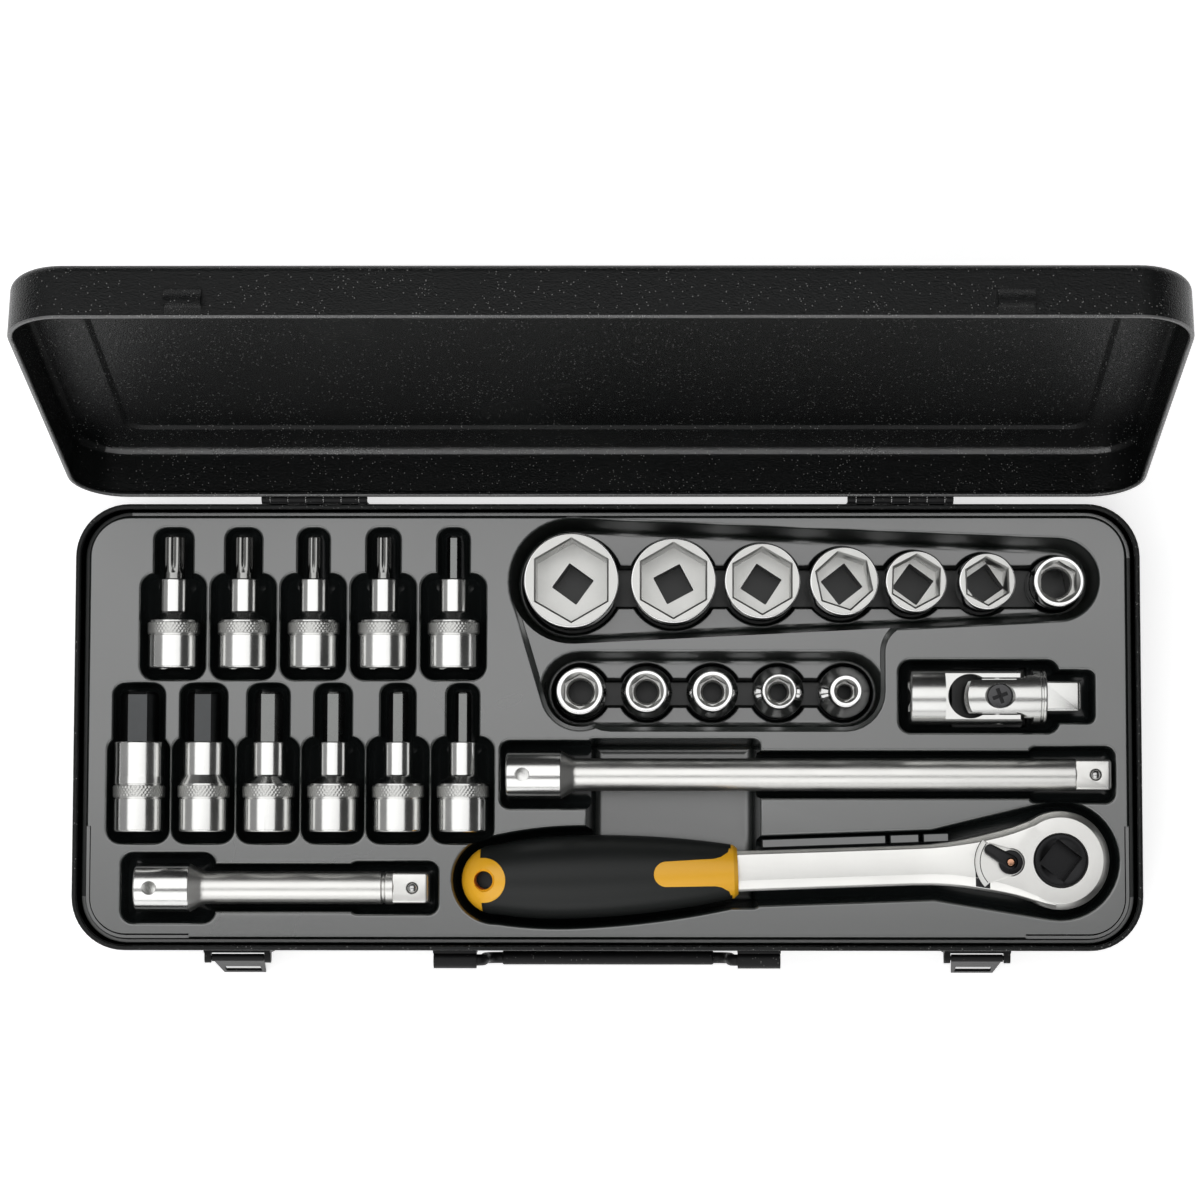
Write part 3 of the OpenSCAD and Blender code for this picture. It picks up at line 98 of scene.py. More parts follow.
HEAD = (190.5, -56.2)
HEAD_Z = 31.0
HEAD_TOP = 9.0
RATCHET_TURN = 2.0
SHANK_L = 135.5
RATCHET_L = 252.0
LEVER_X = -21.0
PROUD = 0.3                      # the wheel's collars above the head's faces
GRIP_R, GRIP_END_R = 17.5, 14.6
HANG = RATCHET_L - 9.6           # from the head to the hole in the grip

# size, outer diameter, length, x from the row's first socket, hexagon angle, square angle
BACK_SOCKETS = [
    (30, 40.0, 44.0, 0.0, 30, -36),
    (27, 36.0, 42.0, 43.0, 30, 28),
    (24, 32.0, 41.0, 80.5, 30, -33),
    (21, 29.0, 40.0, 115.0, 42, 38),
    (19, 26.0, 38.0, 145.5, 28, -36),
    (17, 24.0, 38.0, 175.5, 32, 35),
    (15, 21.5, 38.0, 205.75, 30, 10)]
LAST_SOCKET = (BACK_ROW[0] + BACK_SOCKETS[-1][3], BACK_ROW[1] + 1)
# size, nose diameter, hexagon angle
FRONT_SOCKETS = [(13, 19.8, 30), (12, 17.8, 36), (11, 17.2, 28), (10, 14.8, 33), (8, 13.8, 30)]


def driver_row(tools, x, y, pitch, length):
    """Screwdriver sockets as (profile, number, size across, neck diameter, x, y, overall length)."""
    return [(*tool, x + pitch * i, y, length) for i, tool in enumerate(tools)]


DRIVERS = driver_row([("lobe", 1, 8.8, NECK), ("lobe", 2, 7.8, NECK), ("lobe", 3, 5.5, NECK),
                      ("lobe", 4, 6.6, NECK), ("hex", 5, 5.0, NECK)], -184, 24.5, 29.7, 56.0)
DRIVERS += driver_row([("hex", 14, 14.0, 21.2), ("hex", 12, 12.0, 17.6), ("hex", 10, 10.0, 14.4),
                       ("hex", 8, 8.0, NECK), ("hex", 7, 7.0, NECK), ("hex", 6, 6.0, NECK)],
                      -198, -44.5, 27.4, 59.0)


# ---------- outlines ----------

def polar(radius, angle, centre=(0, 0)):
    return centre[0] + radius * math.cos(angle), centre[1] + radius * math.sin(angle)


def arc_points(radius, start, end, steps, centre=(0, 0)):
    """Points along an arc, both ends included."""
    return [polar(radius, start + (end - start) * k / steps, centre) for k in range(steps + 1)]


def round_ring(centre, radius, grow=0.0, steps=48):
    return [polar(radius + grow, TURN * k / steps, centre) for k in range(steps)]


def corner_ring(low, high, radius, grow=0.0, steps=7):
    """Rectangle with round corners as a ring of points, grown by an amount; always as many points."""
    x0, y0, x1, y1 = low[0] - grow, low[1] - grow, high[0] + grow, high[1] + grow
    r = max(0.05, min(radius + grow, (x1 - x0) / 2 - 0.01, (y1 - y0) / 2 - 0.01))
    ring = []
    for k, centre in enumerate(((x1 - r, y0 + r), (x1 - r, y1 - r), (x0 + r, y1 - r), (x0 + r, y0 + r))):
        ring += arc_points(r, RIGHT * (k - 1), RIGHT * k, steps, centre)
    return ring


def pear_ring(a, ra, b, rb, grow=0.0, steps=22):
    """Two circles and their tangents, as a ring of points."""
    ra, rb = ra + grow, rb + grow
    along = math.atan2(b[1] - a[1], b[0] - a[0])
    lean = math.acos((ra - rb) / math.dist(a, b))
    return (arc_points(ra, along + lean, along + TURN - lean, steps, a)
            + arc_points(rb, along - lean, along + lean, steps, b))


def arc_corner(before, corner, after, radius, steps):
    """A corner as it is, or rounded by a radius."""
    p = Vector(corner)
    a, b = Vector(before) - p, Vector(after) - p
    half = a.angle(b) / 2
    if radius <= 0:
        return [tuple(p)]
    if half > RIGHT - 0.01:
        return [tuple(p)] * (steps + 1)
    reach = min(radius / math.tan(half), a.length * 0.49, b.length * 0.49)
    a.normalize()
    b.normalize()
    start, end = p + a * reach, p + b * reach
    centre = p + (a + b).normalized() * (reach / math.cos(half))
    u, v = start - centre, end - centre
    turn = u.angle_signed(v)
    points = []
    for k in range(steps + 1):
        c, s = math.cos(-turn * k / steps), math.sin(-turn * k / steps)
        points.append((centre.x + u.x * c - u.y * s, centre.y + u.x * s + u.y * c))
    return points


def rounded_polygon(corners, radius, steps=3):
    """Closed polygon, counter-clockwise, with each corner rounded."""
    ring = []
    for k, corner in enumerate(corners):
        ring += arc_corner(corners[k - 1], corner, corners[(k + 1) % len(corners)], radius, steps)
    return ring


def rounded_line(corners, steps=4):
    """Open profile; a corner with a third number is rounded by that radius."""
    line = []
    for k, corner in enumerate(corners):
        if len(corner) == 3 and 0 < k < len(corners) - 1:
            line += arc_corner(corners[k - 1][:2], corner[:2], corners[k + 1][:2], corner[2], steps)
        else:
            line.append(tuple(corner[:2]))
    return line


def hexagon(across, turn=0.0, radius=0.0):
    corners = [polar(across / math.sqrt(3), math.radians(turn + 60 * k)) for k in range(6)]
    return rounded_polygon(corners, radius) if radius else corners


def square(side, turn=0.0, radius=0.5, steps=3):
    h, c, s = side / 2, math.cos(math.radians(turn)), math.sin(math.radians(turn))
    corners = [(x * c - y * s, x * s + y * c) for x, y in ((h, -h), (h, h), (-h, h), (-h, -h))]
    return rounded_polygon(corners, radius, steps)


# ---------- meshes ----------

def solid(name, points, faces):
    """A closed mesh from points in millimetres, its faces turned outwards."""
    mesh = bpy.data.meshes.new(name)
    bm = bmesh.new()
    verts = [bm.verts.new(Vector(p) * MM) for p in points]
    for face in faces:
        bm.faces.new([verts[i] for i in face])
    bmesh.ops.recalc_face_normals(bm, faces=bm.faces)
    bm.to_mesh(mesh)
    bm.free()
    obj = bpy.data.objects.new(name, mesh)
    bpy.context.scene.collection.objects.link(obj)
    return obj


def loft(name, rings, place=None):
    """Skin over rings of equally many points, closed by a flat cap at each end."""
    n, last = len(rings[0]), len(rings) - 1
    faces = [(k * n + i, k * n + (i + 1) % n, (k + 1) * n + (i + 1) % n, (k + 1) * n + i)
             for k in range(last) for i in range(n)]
    faces += [tuple(reversed(range(n))), tuple(last * n + i for i in range(n))]
    points = [place @ Vector(p) if place else p for ring in rings for p in ring]
    return solid(name, points, faces)


def at_height(ring, z):
    return [(x, y, z) for x, y in ring]


def prism(name, ring, low, high, place=None):
    return loft(name, [at_height(ring, low), at_height(ring, high)], place)


def box(name, low, high, place=None, radius=0.0):
    corners = [(low[0], low[1]), (high[0], low[1]), (high[0], high[1]), (low[0], high[1])]
    return prism(name, corner_ring(low[:2], high[:2], radius) if radius else corners, low[2], high[2], place)


def lathe_rings(profile, steps):
    return [at_height(round_ring((0, 0), max(r, 0.02), steps=steps), z) for r, z in profile]


def lathe(name, profile, steps=96, place=None, arc=4):
    """Turned solid from (radius, height) corners; a third number rounds a corner in so many steps."""
    return loft(name, lathe_rings(rounded_line(profile, arc), steps), place)


def sweep(name, path, radius, steps, place):
    """Round rod along a path that lies in the XZ plane."""
    rings = []
    for k, (x, z) in enumerate(path):
        (x0, z0), (x1, z1) = path[max(k - 1, 0)], path[min(k + 1, len(path) - 1)]
        length = math.hypot(x1 - x0, z1 - z0)
        nx, nz = (z0 - z1) / length, (x1 - x0) / length
        turns = round_ring((0, 0), radius, steps=steps)
        rings.append([(x + out * nx, aside, z + out * nz) for out, aside in turns])
    return loft(name, rings, place)


def shape(obj, operation, *tools):
    """Joins, cuts or keeps the common part of a piece with other meshes, which are used up."""
    for tool in tools:
        step = obj.modifiers.new("shape", "BOOLEAN")
        step.operation, step.object, step.solver = operation, tool, "MANIFOLD"
    graph = bpy.context.evaluated_depsgraph_get()
    mesh = bpy.data.meshes.new_from_object(obj.evaluated_get(graph))
    obj.modifiers.clear()
    old, obj.data = obj.data, mesh
    bpy.data.meshes.remove(old)
    for tool in tools:
        bpy.data.meshes.remove(tool.data)
    return obj


def cut(obj, *tools):
    return shape(obj, "DIFFERENCE", *tools)


def join(obj, *tools):
    return shape(obj, "UNION", *tools)


def common(obj, *tools):
    return shape(obj, "INTERSECT", *tools)


def at(x, y, z, *turns):
    """Placement: a shift after turns, each an axis and degrees, the first one nearest the shift."""
    place = Matrix.Translation((x, y, z))
    for axis, degrees in turns:
        place = place @ Matrix.Rotation(math.radians(degrees), 4, axis)
    return place


def dress(obj, body, nodes, materials, smooth=30.0, bevel=0.0, pick=None):
    """Finishes a piece: shading, soft edges, its materials, and what it rides on and stands for."""
    obj.data.materials.clear()
    for material in materials:
        obj.data.materials.append(material)
    if pick:
        for face in obj.data.polygons:
            face.material_index = pick(face.center / MM, face.normal)
    obj.data.shade_smooth()
    obj.data.set_sharp_from_angle(angle=math.radians(smooth))
    if bevel:
        edges = obj.modifiers.new("edges", "BEVEL")
        edges.width, edges.segments, edges.limit_method = bevel * MM, 2, "ANGLE"
        edges.angle_limit, edges.harden_normals = math.radians(smooth), True
        edges.use_clamp_overlap = True
    else:
        normals = obj.modifiers.new("normals", "WEIGHTED_NORMAL")
        normals.keep_sharp = True
    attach(obj, body)
    if nodes:
        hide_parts(*nodes)


def keep(name, body, surface, bevel=0.25):
    """A fitting with the CAD node's own shape, with soft edges and its finish."""
    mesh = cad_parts[name].data.copy()
    mesh.name = name + "_piece"
    piece = bpy.data.objects.new(name + "_piece", mesh)
    bpy.context.scene.collection.objects.link(piece)
    dress(piece, body, [name], [surface], bevel=bevel)


# ---------- finishes ----------

def feed(tree, sockets, values):
    """Fills a node's sockets by name or number: another node's output is linked, a value is set."""
    for key, value in values.items():
        if isinstance(value, bpy.types.NodeSocket):
            tree.links.new(value, sockets[key])
        else:
            sockets[key].default_value = value


def node(tree, kind, inputs, **settings):
    made = tree.nodes.new(kind)
    for key, value in settings.items():
        setattr(made, key, value)
    feed(tree, made.inputs, inputs)
    return made


def group(name, inputs, outputs):
    """A shader group, from its inputs with their first values and the names of its outputs."""
    tree = bpy.data.node_groups.new(name, "ShaderNodeTree")
    for label, value in inputs.items():
        kind = "NodeSocketVector" if isinstance(value, tuple) else "NodeSocketFloat"
        tree.interface.new_socket(label, in_out="INPUT", socket_type=kind).default_value = value
    for label in outputs:
        kind = "NodeSocketVector" if label == "Normal" else "NodeSocketFloat"
        tree.interface.new_socket(label, in_out="OUTPUT", socket_type=kind)
    return tree, tree.nodes.new("NodeGroupInput").outputs, tree.nodes.new("NodeGroupOutput").inputs


def math_node(tree, operation, a, b=0.0):
    return node(tree, "ShaderNodeMath", {0: a, 1: b}, operation=operation).outputs[0]


def mix_colour(tree, factor, a, b):
    """Mix of two colours, which are sockets 6 and 7 of a Mix node."""
    return node(tree, "ShaderNodeMix", {"Factor": factor, 6: a, 7: b}, data_type="RGBA").outputs[2]


def ramp(tree, value, low, high, out_low=0.0, out_high=1.0):
    return node(tree, "ShaderNodeMapRange", {"Value": value, "From Min": low, "From Max": high,
                                             "To Min": out_low, "To Max": out_high}).outputs[0]


def noise(tree, where, scale, detail=2.0, roughness=0.5):
    return node(tree, "ShaderNodeTexNoise", {"Vector": where, "Scale": scale, "Detail": detail,
                                             "Roughness": roughness}).outputs["Fac"]


def cells(tree, where, scale, factor):
    """Voronoi cells at a multiple of a scale that comes through a socket."""
    return node(tree, "ShaderNodeTexVoronoi", {"Vector": where, "Scale": math_node(
        tree, "MULTIPLY", scale, factor)}, feature="F1").outputs


def object_place(tree):
    return tree.nodes.new("ShaderNodeTexCoord").outputs["Object"]


def build_wrinkle():
    """Wrinkle lacquer: a fine pebbled height, rare bright grains that are painted glints in the base colour,
    and slow changes of tone.
    """
    tree, given, out = group("wrinkle lacquer", dict(Scale=1500.0, Depth=0.5, Speck=0.02),
                             ("Normal", "Speck", "Tone"))
    where = object_place(tree)
    grains = cells(tree, where, given["Scale"], 1.7)
    height = math_node(tree, "ADD", noise(tree, where, given["Scale"], 2.0, 0.6),
                       math_node(tree, "MULTIPLY", grains["Distance"], 0.12))
    bump = node(tree, "ShaderNodeBump", {"Height": height, "Strength": given["Depth"], "Distance": 0.0006})
    # painted glints: rare cells, gathered in patches, that take a bright base colour
    dots = cells(tree, where, given["Scale"], 0.75)
    chance = node(tree, "ShaderNodeTexWhiteNoise", {"Vector": dots["Color"]},
                  noise_dimensions="3D").outputs["Value"]
    patch = ramp(tree, noise(tree, where, 45.0, 3.0), 0.38, 0.62, 0.7, 2.4)
    painted_glint = math_node(tree, "GREATER_THAN", math_node(tree, "MULTIPLY", given["Speck"], patch), chance)
    feed(tree, out, {"Normal": bump.outputs[0], "Tone": noise(tree, where, 14.0),
                     "Speck": math_node(tree, "MULTIPLY", painted_glint, ramp(tree, dots["Distance"], 0.36, 0.20))})
    return tree


def build_metal_skin():
    """Plated metal: fine grain, faint drawn lines along one axis and slow changes of tone."""
    tree, given, out = group("metal skin", dict(Grain=0.05, Lines=0.0, Stretch=(1.0, 1.0, 1.0)),
                             ("Normal", "Tone", "Wear"))
    where = object_place(tree)
    stretched = node(tree, "ShaderNodeVectorMath", {0: where, 1: given["Stretch"]},
                     operation="MULTIPLY").outputs[0]
    height = math_node(tree, "ADD", math_node(tree, "MULTIPLY", noise(tree, where, 2600.0), given["Grain"]),
                       math_node(tree, "MULTIPLY", noise(tree, stretched, 1500.0, 3.0), given["Lines"]))
    bump = node(tree, "ShaderNodeBump", {"Height": height, "Strength": 0.35, "Distance": 0.00012})
    feed(tree, out, {"Normal": bump.outputs[0], "Tone": noise(tree, where, 60.0, 4.0, 0.65),
                     "Wear": ramp(tree, noise(tree, stretched, 380.0, 5.0, 0.7), 0.62, 0.75)})
    return tree


def build_moulding():
    """Moulded plastic or rubber: a fine leathery grain, slow changes of tone and dust."""
    tree, given, out = group("moulding", dict(Scale=900.0, Depth=0.1), ("Normal", "Tone", "Dust"))
    where = object_place(tree)
    bump = node(tree, "ShaderNodeBump", {"Height": noise(tree, where, given["Scale"], 3.0),
                                         "Strength": given["Depth"], "Distance": 0.0004})
    feed(tree, out, {"Normal": bump.outputs[0], "Tone": noise(tree, where, 9.0, 3.0),
                     "Dust": ramp(tree, noise(tree, where, 420.0, 6.0, 0.75), 0.68, 0.8)})
    return tree


WRINKLE, METAL_SKIN, MOULDING = build_wrinkle(), build_metal_skin(), build_moulding()


def material(name):
    made = bpy.data.materials.new(name)
    made.use_nodes = True
    return made, made.node_tree, made.node_tree.nodes["Principled BSDF"].inputs


def placed(tree, effect, **values):
    """A shader group in a material, with its own values."""
    made = tree.nodes.new("ShaderNodeGroup")
    made.node_tree = effect
    feed(tree, made.inputs, values)
    return made.outputs


def tones(tree, mask, colour, low, high):
    """A colour that changes with a mask between two levels of its brightness."""
    dark, bright = (*[c * low for c in colour], 1), (*[c * high for c in colour], 1)
    return mix_colour(tree, ramp(tree, mask, 0.3, 0.7), dark, bright)


def lacquer(name, colour, depth, painted_glint, rough, ior, scale=1500.0):
    made, tree, shader = material(name)
    skin = placed(tree, WRINKLE, Scale=scale, Depth=depth, Speck=painted_glint)
    dark = tones(tree, skin["Tone"], colour, 0.8, 1.25)
    # the bright grains are painted glints, mixed into the base colour
    feed(tree, shader, {"Base Color": mix_colour(tree, skin["Speck"], dark, (0.17, 0.17, 0.165, 1)),
                        "Roughness": ramp(tree, skin["Tone"], 0.2, 0.8, rough - 0.05, rough + 0.05),
                        "Normal": skin["Normal"], "IOR": ior})
    return made


def metal(name, colour, rough, grain=0.05, lines=0.0, stretch=(1, 1, 1), spread=0.1):
    made, tree, shader = material(name)
    skin = placed(tree, METAL_SKIN, Grain=grain, Lines=lines, Stretch=stretch)
    wear = math_node(tree, "MULTIPLY", skin["Wear"], 0.06)
    tone = ramp(tree, skin["Tone"], 0.3, 0.7, rough * 0.85, rough * 1.15)
    feed(tree, shader, {"Base Color": tones(tree, skin["Tone"], colour, 1 - spread, 1),
                        "Roughness": math_node(tree, "ADD", tone, wear),
                        "Normal": skin["Normal"], "Metallic": 1.0})
    return made


def moulded(name, colour, rough, scale=900.0, depth=0.06, ior=1.5, coat=0.0, spread=0.15, dust=0.0):
    made, tree, shader = material(name)
    skin = placed(tree, MOULDING, Scale=scale, Depth=depth)
    base = tones(tree, skin["Tone"], colour, 1 - spread, 1 + spread)
    if dust:
        base = mix_colour(tree, math_node(tree, "MULTIPLY", skin["Dust"], dust), base, (0.35, 0.35, 0.34, 1))
    feed(tree, shader, {"Base Color": base, "Normal": skin["Normal"], "IOR": ior,
                        "Roughness": ramp(tree, skin["Tone"], 0.3, 0.7, rough - 0.04, rough + 0.04),
                        "Coat Weight": coat, "Coat Roughness": 0.3})
    return made


ALONG_X, ALONG_Y, BIT_LINES = (0.05, 1, 1), (1, 0.05, 1), (1, 0.03, 1)     # how drawn lines are stretched

CASE_LACQUER = lacquer("case lacquer", (0.0030, 0.0036, 0.0036), 0.5, painted_glint=0.07, rough=0.25, ior=1.34)
# rubbed edges: real wear, and a painted highlight from a brighter, more reflective copy of the lacquer with
# more painted glints
CASE_EDGE_PAINTED_SHEEN = lacquer("case lacquer, rubbed edges with painted highlight", (0.007, 0.0075, 0.0075), 0.7, painted_glint=0.22, rough=0.28,
                    ior=2.2)
FITTING_BLACK = lacquer("fitting black", (0.0055, 0.0055, 0.006), 0.25, painted_glint=0.03, rough=0.44, ior=1.32,
                        scale=1900.0)
# one black plastic in three copies: the land's copy reflects more as painted sheen, the wells' and pockets'
# copies less as painted shade; the dust on the land is real
TRAY_PLASTIC_PAINTED_SHEEN = moulded("tray plastic", (0.0085, 0.0125, 0.0105), 0.30, ior=2.30, coat=1.0, dust=0.10)
TRAY_WELL_PAINTED_SHADE = moulded("tray plastic, painted shade in wells", (0.009, 0.0115, 0.0105), 0.34, ior=1.55)
TRAY_POCKET_PAINTED_SHADE = moulded("tray plastic, painted shade in pockets", (0.013, 0.0155, 0.0155), 0.22, ior=1.42)
CHROME = metal("polished chrome", (0.80, 0.80, 0.795), 0.09, grain=0.03, spread=0.04)
CHROME_SOFT = metal("plated chrome", (0.80, 0.80, 0.785), 0.19, 0.12, 0.05, ALONG_Y, spread=0.08)
CHROME_JOINT = metal("joint chrome", (0.70, 0.70, 0.685), 0.24, 0.15, 0.06, ALONG_X)
CHROME_MATT = metal("matt chrome", (0.66, 0.66, 0.64), 0.36, grain=0.5, spread=0.12)
CHROME_BORE = metal("bore chrome", (0.60, 0.60, 0.59), 0.30, grain=0.3, spread=0.15)
SATIN_CHROME = metal("satin chrome", (0.80, 0.795, 0.77), 0.34, 0.2, 0.12, ALONG_X, spread=0.05)
BIT_STEEL = metal("bit steel", (0.215, 0.22, 0.215), 0.27, 0.3, 0.2, BIT_LINES, spread=0.15)
BIT_BRIGHT = metal("bit steel, milled", (0.36, 0.36, 0.35), 0.20, 0.2, 0.15, BIT_LINES, spread=0.15)
BIT_DARK = metal("bit steel, blackened", (0.085, 0.088, 0.09), 0.32, 0.3, 0.2, BIT_LINES, spread=0.2)
PIN_STEEL = metal("pin steel", (0.56, 0.56, 0.55), 0.25, grain=0.2)
SCREW_BLACK = metal("blackened screw", (0.075, 0.075, 0.077), 0.26, grain=0.2, spread=0.2)
BLACK_STEEL = metal("black steel", (0.026, 0.026, 0.027), 0.30, grain=0.25, spread=0.2)
COPPER = metal("copper pin", (0.60, 0.32, 0.20), 0.25, grain=0.1)
GRIP_YELLOW = moulded("grip yellow", (0.99, 0.50, 0.018), 0.36, 700.0, coat=0.2, spread=0.01)
GRIP_RUBBER = moulded("grip rubber", (0.012, 0.0135, 0.013), 0.43, 1100.0, 0.12, ior=1.38, spread=0.12)


# ---------- the case ----------

def case_ring(inset, z, radius=None):
    low, high = (-CASE_HALF[0] + inset, -CASE_HALF[1] + inset), (CASE_HALF[0] - inset, CASE_HALF[1] - inset)
    return at_height(corner_ring(low, high, CASE_CORNER - inset if radius is None else radius, steps=12), z)


def pan(name, height, outside, inside, place=None):
    """Pressed pan with a folded hem, from the middle of its outside to the middle of its inside."""
    section = rounded_line([
        *outside, (0, 0, 4), (0, height, 0.9), (HEM, height, 0.9), (HEM, height - 2.0, 0.5),
        (SHEET, height - 2.3, 0.4), (SHEET, SHEET, 3), *inside], 6)
    panel_corner = 8.0
    rings = [case_ring(inset, z, panel_corner if inset > 12 else None) for inset, z in section]
    return loft(name, rings, place)


def make_case_base():
    shell = pan("case_base_shell", BASE_H, [(30, 0)], [(30, SHEET)])
    dress(shell, "case", ["case_base"], [CASE_LACQUER], smooth=40)


def lid_place():
    """From the shut lid, mouth up and top at zero, to the open lid."""
    open_up = at(0, *HINGE_AXIS, ("X", -LID_OPEN)) @ at(0, -HINGE_AXIS[0], -HINGE_AXIS[1])
    return open_up @ at(0, 0, LID_Z + LID_H) @ Matrix.Diagonal((1, 1, -1, 1))


def add_catch(shell, x):
    """A pressed bump on the lid's front wall, with the slot for a latch above it."""
    half, proud, length, slot = 7.0, 3.2, 7.5, 3.0
    high, wall = LID_H - 4.2, -CASE_HALF[1]
    radius = (proud ** 2 + length ** 2) / (2 * proud)
    bump = lathe("catch_bump", [(radius, x - half), (radius, x + half)], 128,
                 lid_place() @ at(0, wall - proud + radius, high, ("Y", 90)))
    window = box("catch_room", (x - half, wall - proud, high - length), (x + half, wall + 0.5, high),
                 lid_place())
    join(shell, common(bump, window))
    cut(shell, box("catch_slot", (x - half, wall - 5, high), (x + half, wall + 4, high + slot), lid_place()))


def make_case_lid():
    rise, panel_in = 1.2, 22.0
    shell = pan("case_lid_shell", LID_H,
                [(60, -rise), (panel_in + 3, -rise, 1.2), (panel_in + 1, 0, 1.2)],
                [(panel_in + 1.4, SHEET, 1.2), (panel_in + 3.4, SHEET - rise, 1.2), (60, SHEET - rise)],
                lid_place())
    for side in (-1, 1):
        add_catch(shell, side * CATCH_X)
    shut = lid_place().inverted()

    def pick(centre, normal):
        """The rolled rim and the inner bend at the hinge side are rubbed shiny and carry a painted highlight:
        a brighter, more reflective lacquer with more bright grains.
        """
        spot, facing = shut @ centre, shut.to_3x3() @ normal
        bend = spot.y > CASE_HALF[1] - 4.4 and spot.z < 3.8 and facing.y < 0.05 and facing.z > 0.15
        return int(bend or spot.z > LID_H - 0.6)

    dress(shell, "lid", ["case_lid"], [CASE_LACQUER, CASE_EDGE_PAINTED_SHEEN], smooth=40, pick=pick)


def make_handle():
    arm, elbow, rod, drop, stub, grip_r = 52.2, 6.0, 2.4, 25.0, 15.0, 3.0
    place = at(0, *HANDLE_AXIS)
    half = [(arm + stub, 0), (arm + 0.01 + rod, 0)]
    half += arc_points(rod, RIGHT, 2 * RIGHT, 6, (arm + rod, -rod))[1:]
    half += arc_points(elbow, 0, -RIGHT, 8, (arm - elbow, elbow - drop))
    bail = sweep("carry_bail", half + [(-x, z) for x, z in reversed(half)], rod, 28, place)
    end = arm - elbow - 1
    grip = lathe("carry_grip", [(0, -end), (grip_r, -end, 0.8), (grip_r, end, 0.8), (0, end)], 48,
                 place @ at(0, 0, -drop, ("Y", 90)))
    join(bail, grip)
    dress(bail, "handle", ["carry_handle"], [FITTING_BLACK], smooth=40)


def keep_fittings():
    for name, body in (("base_hinge_leaves", "case"), ("lid_hinge_leaves", "lid"), ("latch_plates", "case"),
                       ("latch_lever_left", "latch_left"), ("latch_lever_right", "latch_right"),
                       ("handle_brackets", "case")):
        keep(name, body, FITTING_BLACK)
    keep("hinge_pins", "case", PIN_STEEL, bevel=0.1)


# ---------- the insert tray ----------

RATCHET = at(*HEAD, HEAD_Z, ("Z", RATCHET_TURN))


def ratchet_plan(ring):
    """From the ratchet's own plan to the case."""
    c, s = math.cos(math.radians(RATCHET_TURN)), math.sin(math.radians(RATCHET_TURN))
    return [(HEAD[0] + x * c - y * s, HEAD[1] + x * s + y * c) for x, y in ring]


def grip_radius(d):
    """Radius of the ratchet's grip at a distance from the middle of the head."""
    bulge, cap = RATCHET_L - 46, RATCHET_L - GRIP_END_R
    if d > cap:
        return math.sqrt(max(GRIP_END_R ** 2 - (d - cap) ** 2, 0))
    run, rise = (bulge - SHANK_L, 6.5) if d <= bulge else (cap - bulge, GRIP_R - GRIP_END_R)
    r = (run * run + rise * rise) / (2 * rise)
    return GRIP_R - r + math.sqrt(r * r - (d - bulge) ** 2)


def grip_ring(grow, steps=40):
    """Plan of the grip, grown, with its points closer together towards its round end."""
    start, end = SHANK_L - grow, RATCHET_L + grow
    side = []
    for k in range(steps + 1):
        d = start + (end - start) * (1 - (1 - k / steps) ** 1.6)
        past = d - RATCHET_L + GRIP_END_R
        if past > 0:
            width = math.sqrt(max((GRIP_END_R + grow) ** 2 - past ** 2, 0.01))
        else:
            width = grip_radius(max(d, SHANK_L)) + grow
        side.append((-d, width))
    return [(x, -y) for x, y in side] + [(x, y) for x, y in reversed(side)]


def bend_ring(grow):
    """The round inner corner of the sunk field, between the front row's end and the back row."""
    x, y, bend = FRONT_END + FRONT_R, FRONT_ROW[1] + FRONT_R, 12.0
    arc = arc_points(bend - grow, 2 * RIGHT, RIGHT, 12, (x + bend, y))
    return arc + [(x + bend, y + bend + 4), (x - 12, y + bend + 4), (x - 12, y)]


def rect(low, high, radius, floor, **form):
    """Settings of a pocket that is a rectangle with round corners."""
    return dict(outline=lambda grow: corner_ring(low, high, radius, grow), floor=floor, **form)


def in_line(start, end, half, radius, floor, **form):
    """Settings of a pocket along X around a middle line, between two points on it."""
    return rect((start[0], start[1] - half), (end, start[1] + half), radius, floor, **form)


def socket_pockets():
    """The sunk field, the ledges in it, the wells in the ledges and the slots that join the wells."""
    low, high = [c - FRONT_R for c in FRONT_ROW], (FRONT_END + FRONT_R, FRONT_ROW[1] + FRONT_R)
    field = dict(lip=0.9, fillet=0.6, draft=1.5)
    well = dict(floor=WELL_FLOOR, top=LEDGE, fillet=1.0, draft=0.5)
    found = [dict(outline=lambda g: pear_ring(BACK_ROW, BACK_R, FRONT_ROW, FRONT_R, g), floor=FIELD, **field),
             rect((BACK_ROW[0], low[1]), (high[0], BACK_ROW[1]), FRONT_R, FIELD, **field),
             dict(outline=bend_ring, floor=FIELD, **field),
             dict(outline=lambda g: pear_ring(BACK_ROW, BACK_R, LAST_SOCKET, LAST_R, g), floor=LEDGE,
                  lip=1.4, fillet=2.6, draft=2.6),
             rect(low, high, FRONT_R, LEDGE, top=FIELD, lip=1.4, fillet=2.4, draft=2.0)]
    spots = [((BACK_ROW[0] + x, BACK_ROW[1]), d / 2 + WELL_GAP) for _, d, _, x, _, _ in BACK_SOCKETS]
    spots += [((FRONT_ROW[0] + i * FRONT_PITCH, FRONT_ROW[1]), BASE_D / 2 + WELL_GAP) for i in range(5)]
    found += [dict(outline=lambda g, spot=spot, r=r: round_ring(spot, r, g), lip=0.9, **well)
              for spot, r in spots]
    return found + [
        rect((BACK_ROW[0], BACK_ROW[1] - 10), (LAST_SOCKET[0], LAST_SOCKET[1] + 7), 2, lip=0.8, **well),
        rect((FRONT_ROW[0], FRONT_ROW[1] - 6), (FRONT_END, FRONT_ROW[1] + 6), 2, lip=0.8, **well)]


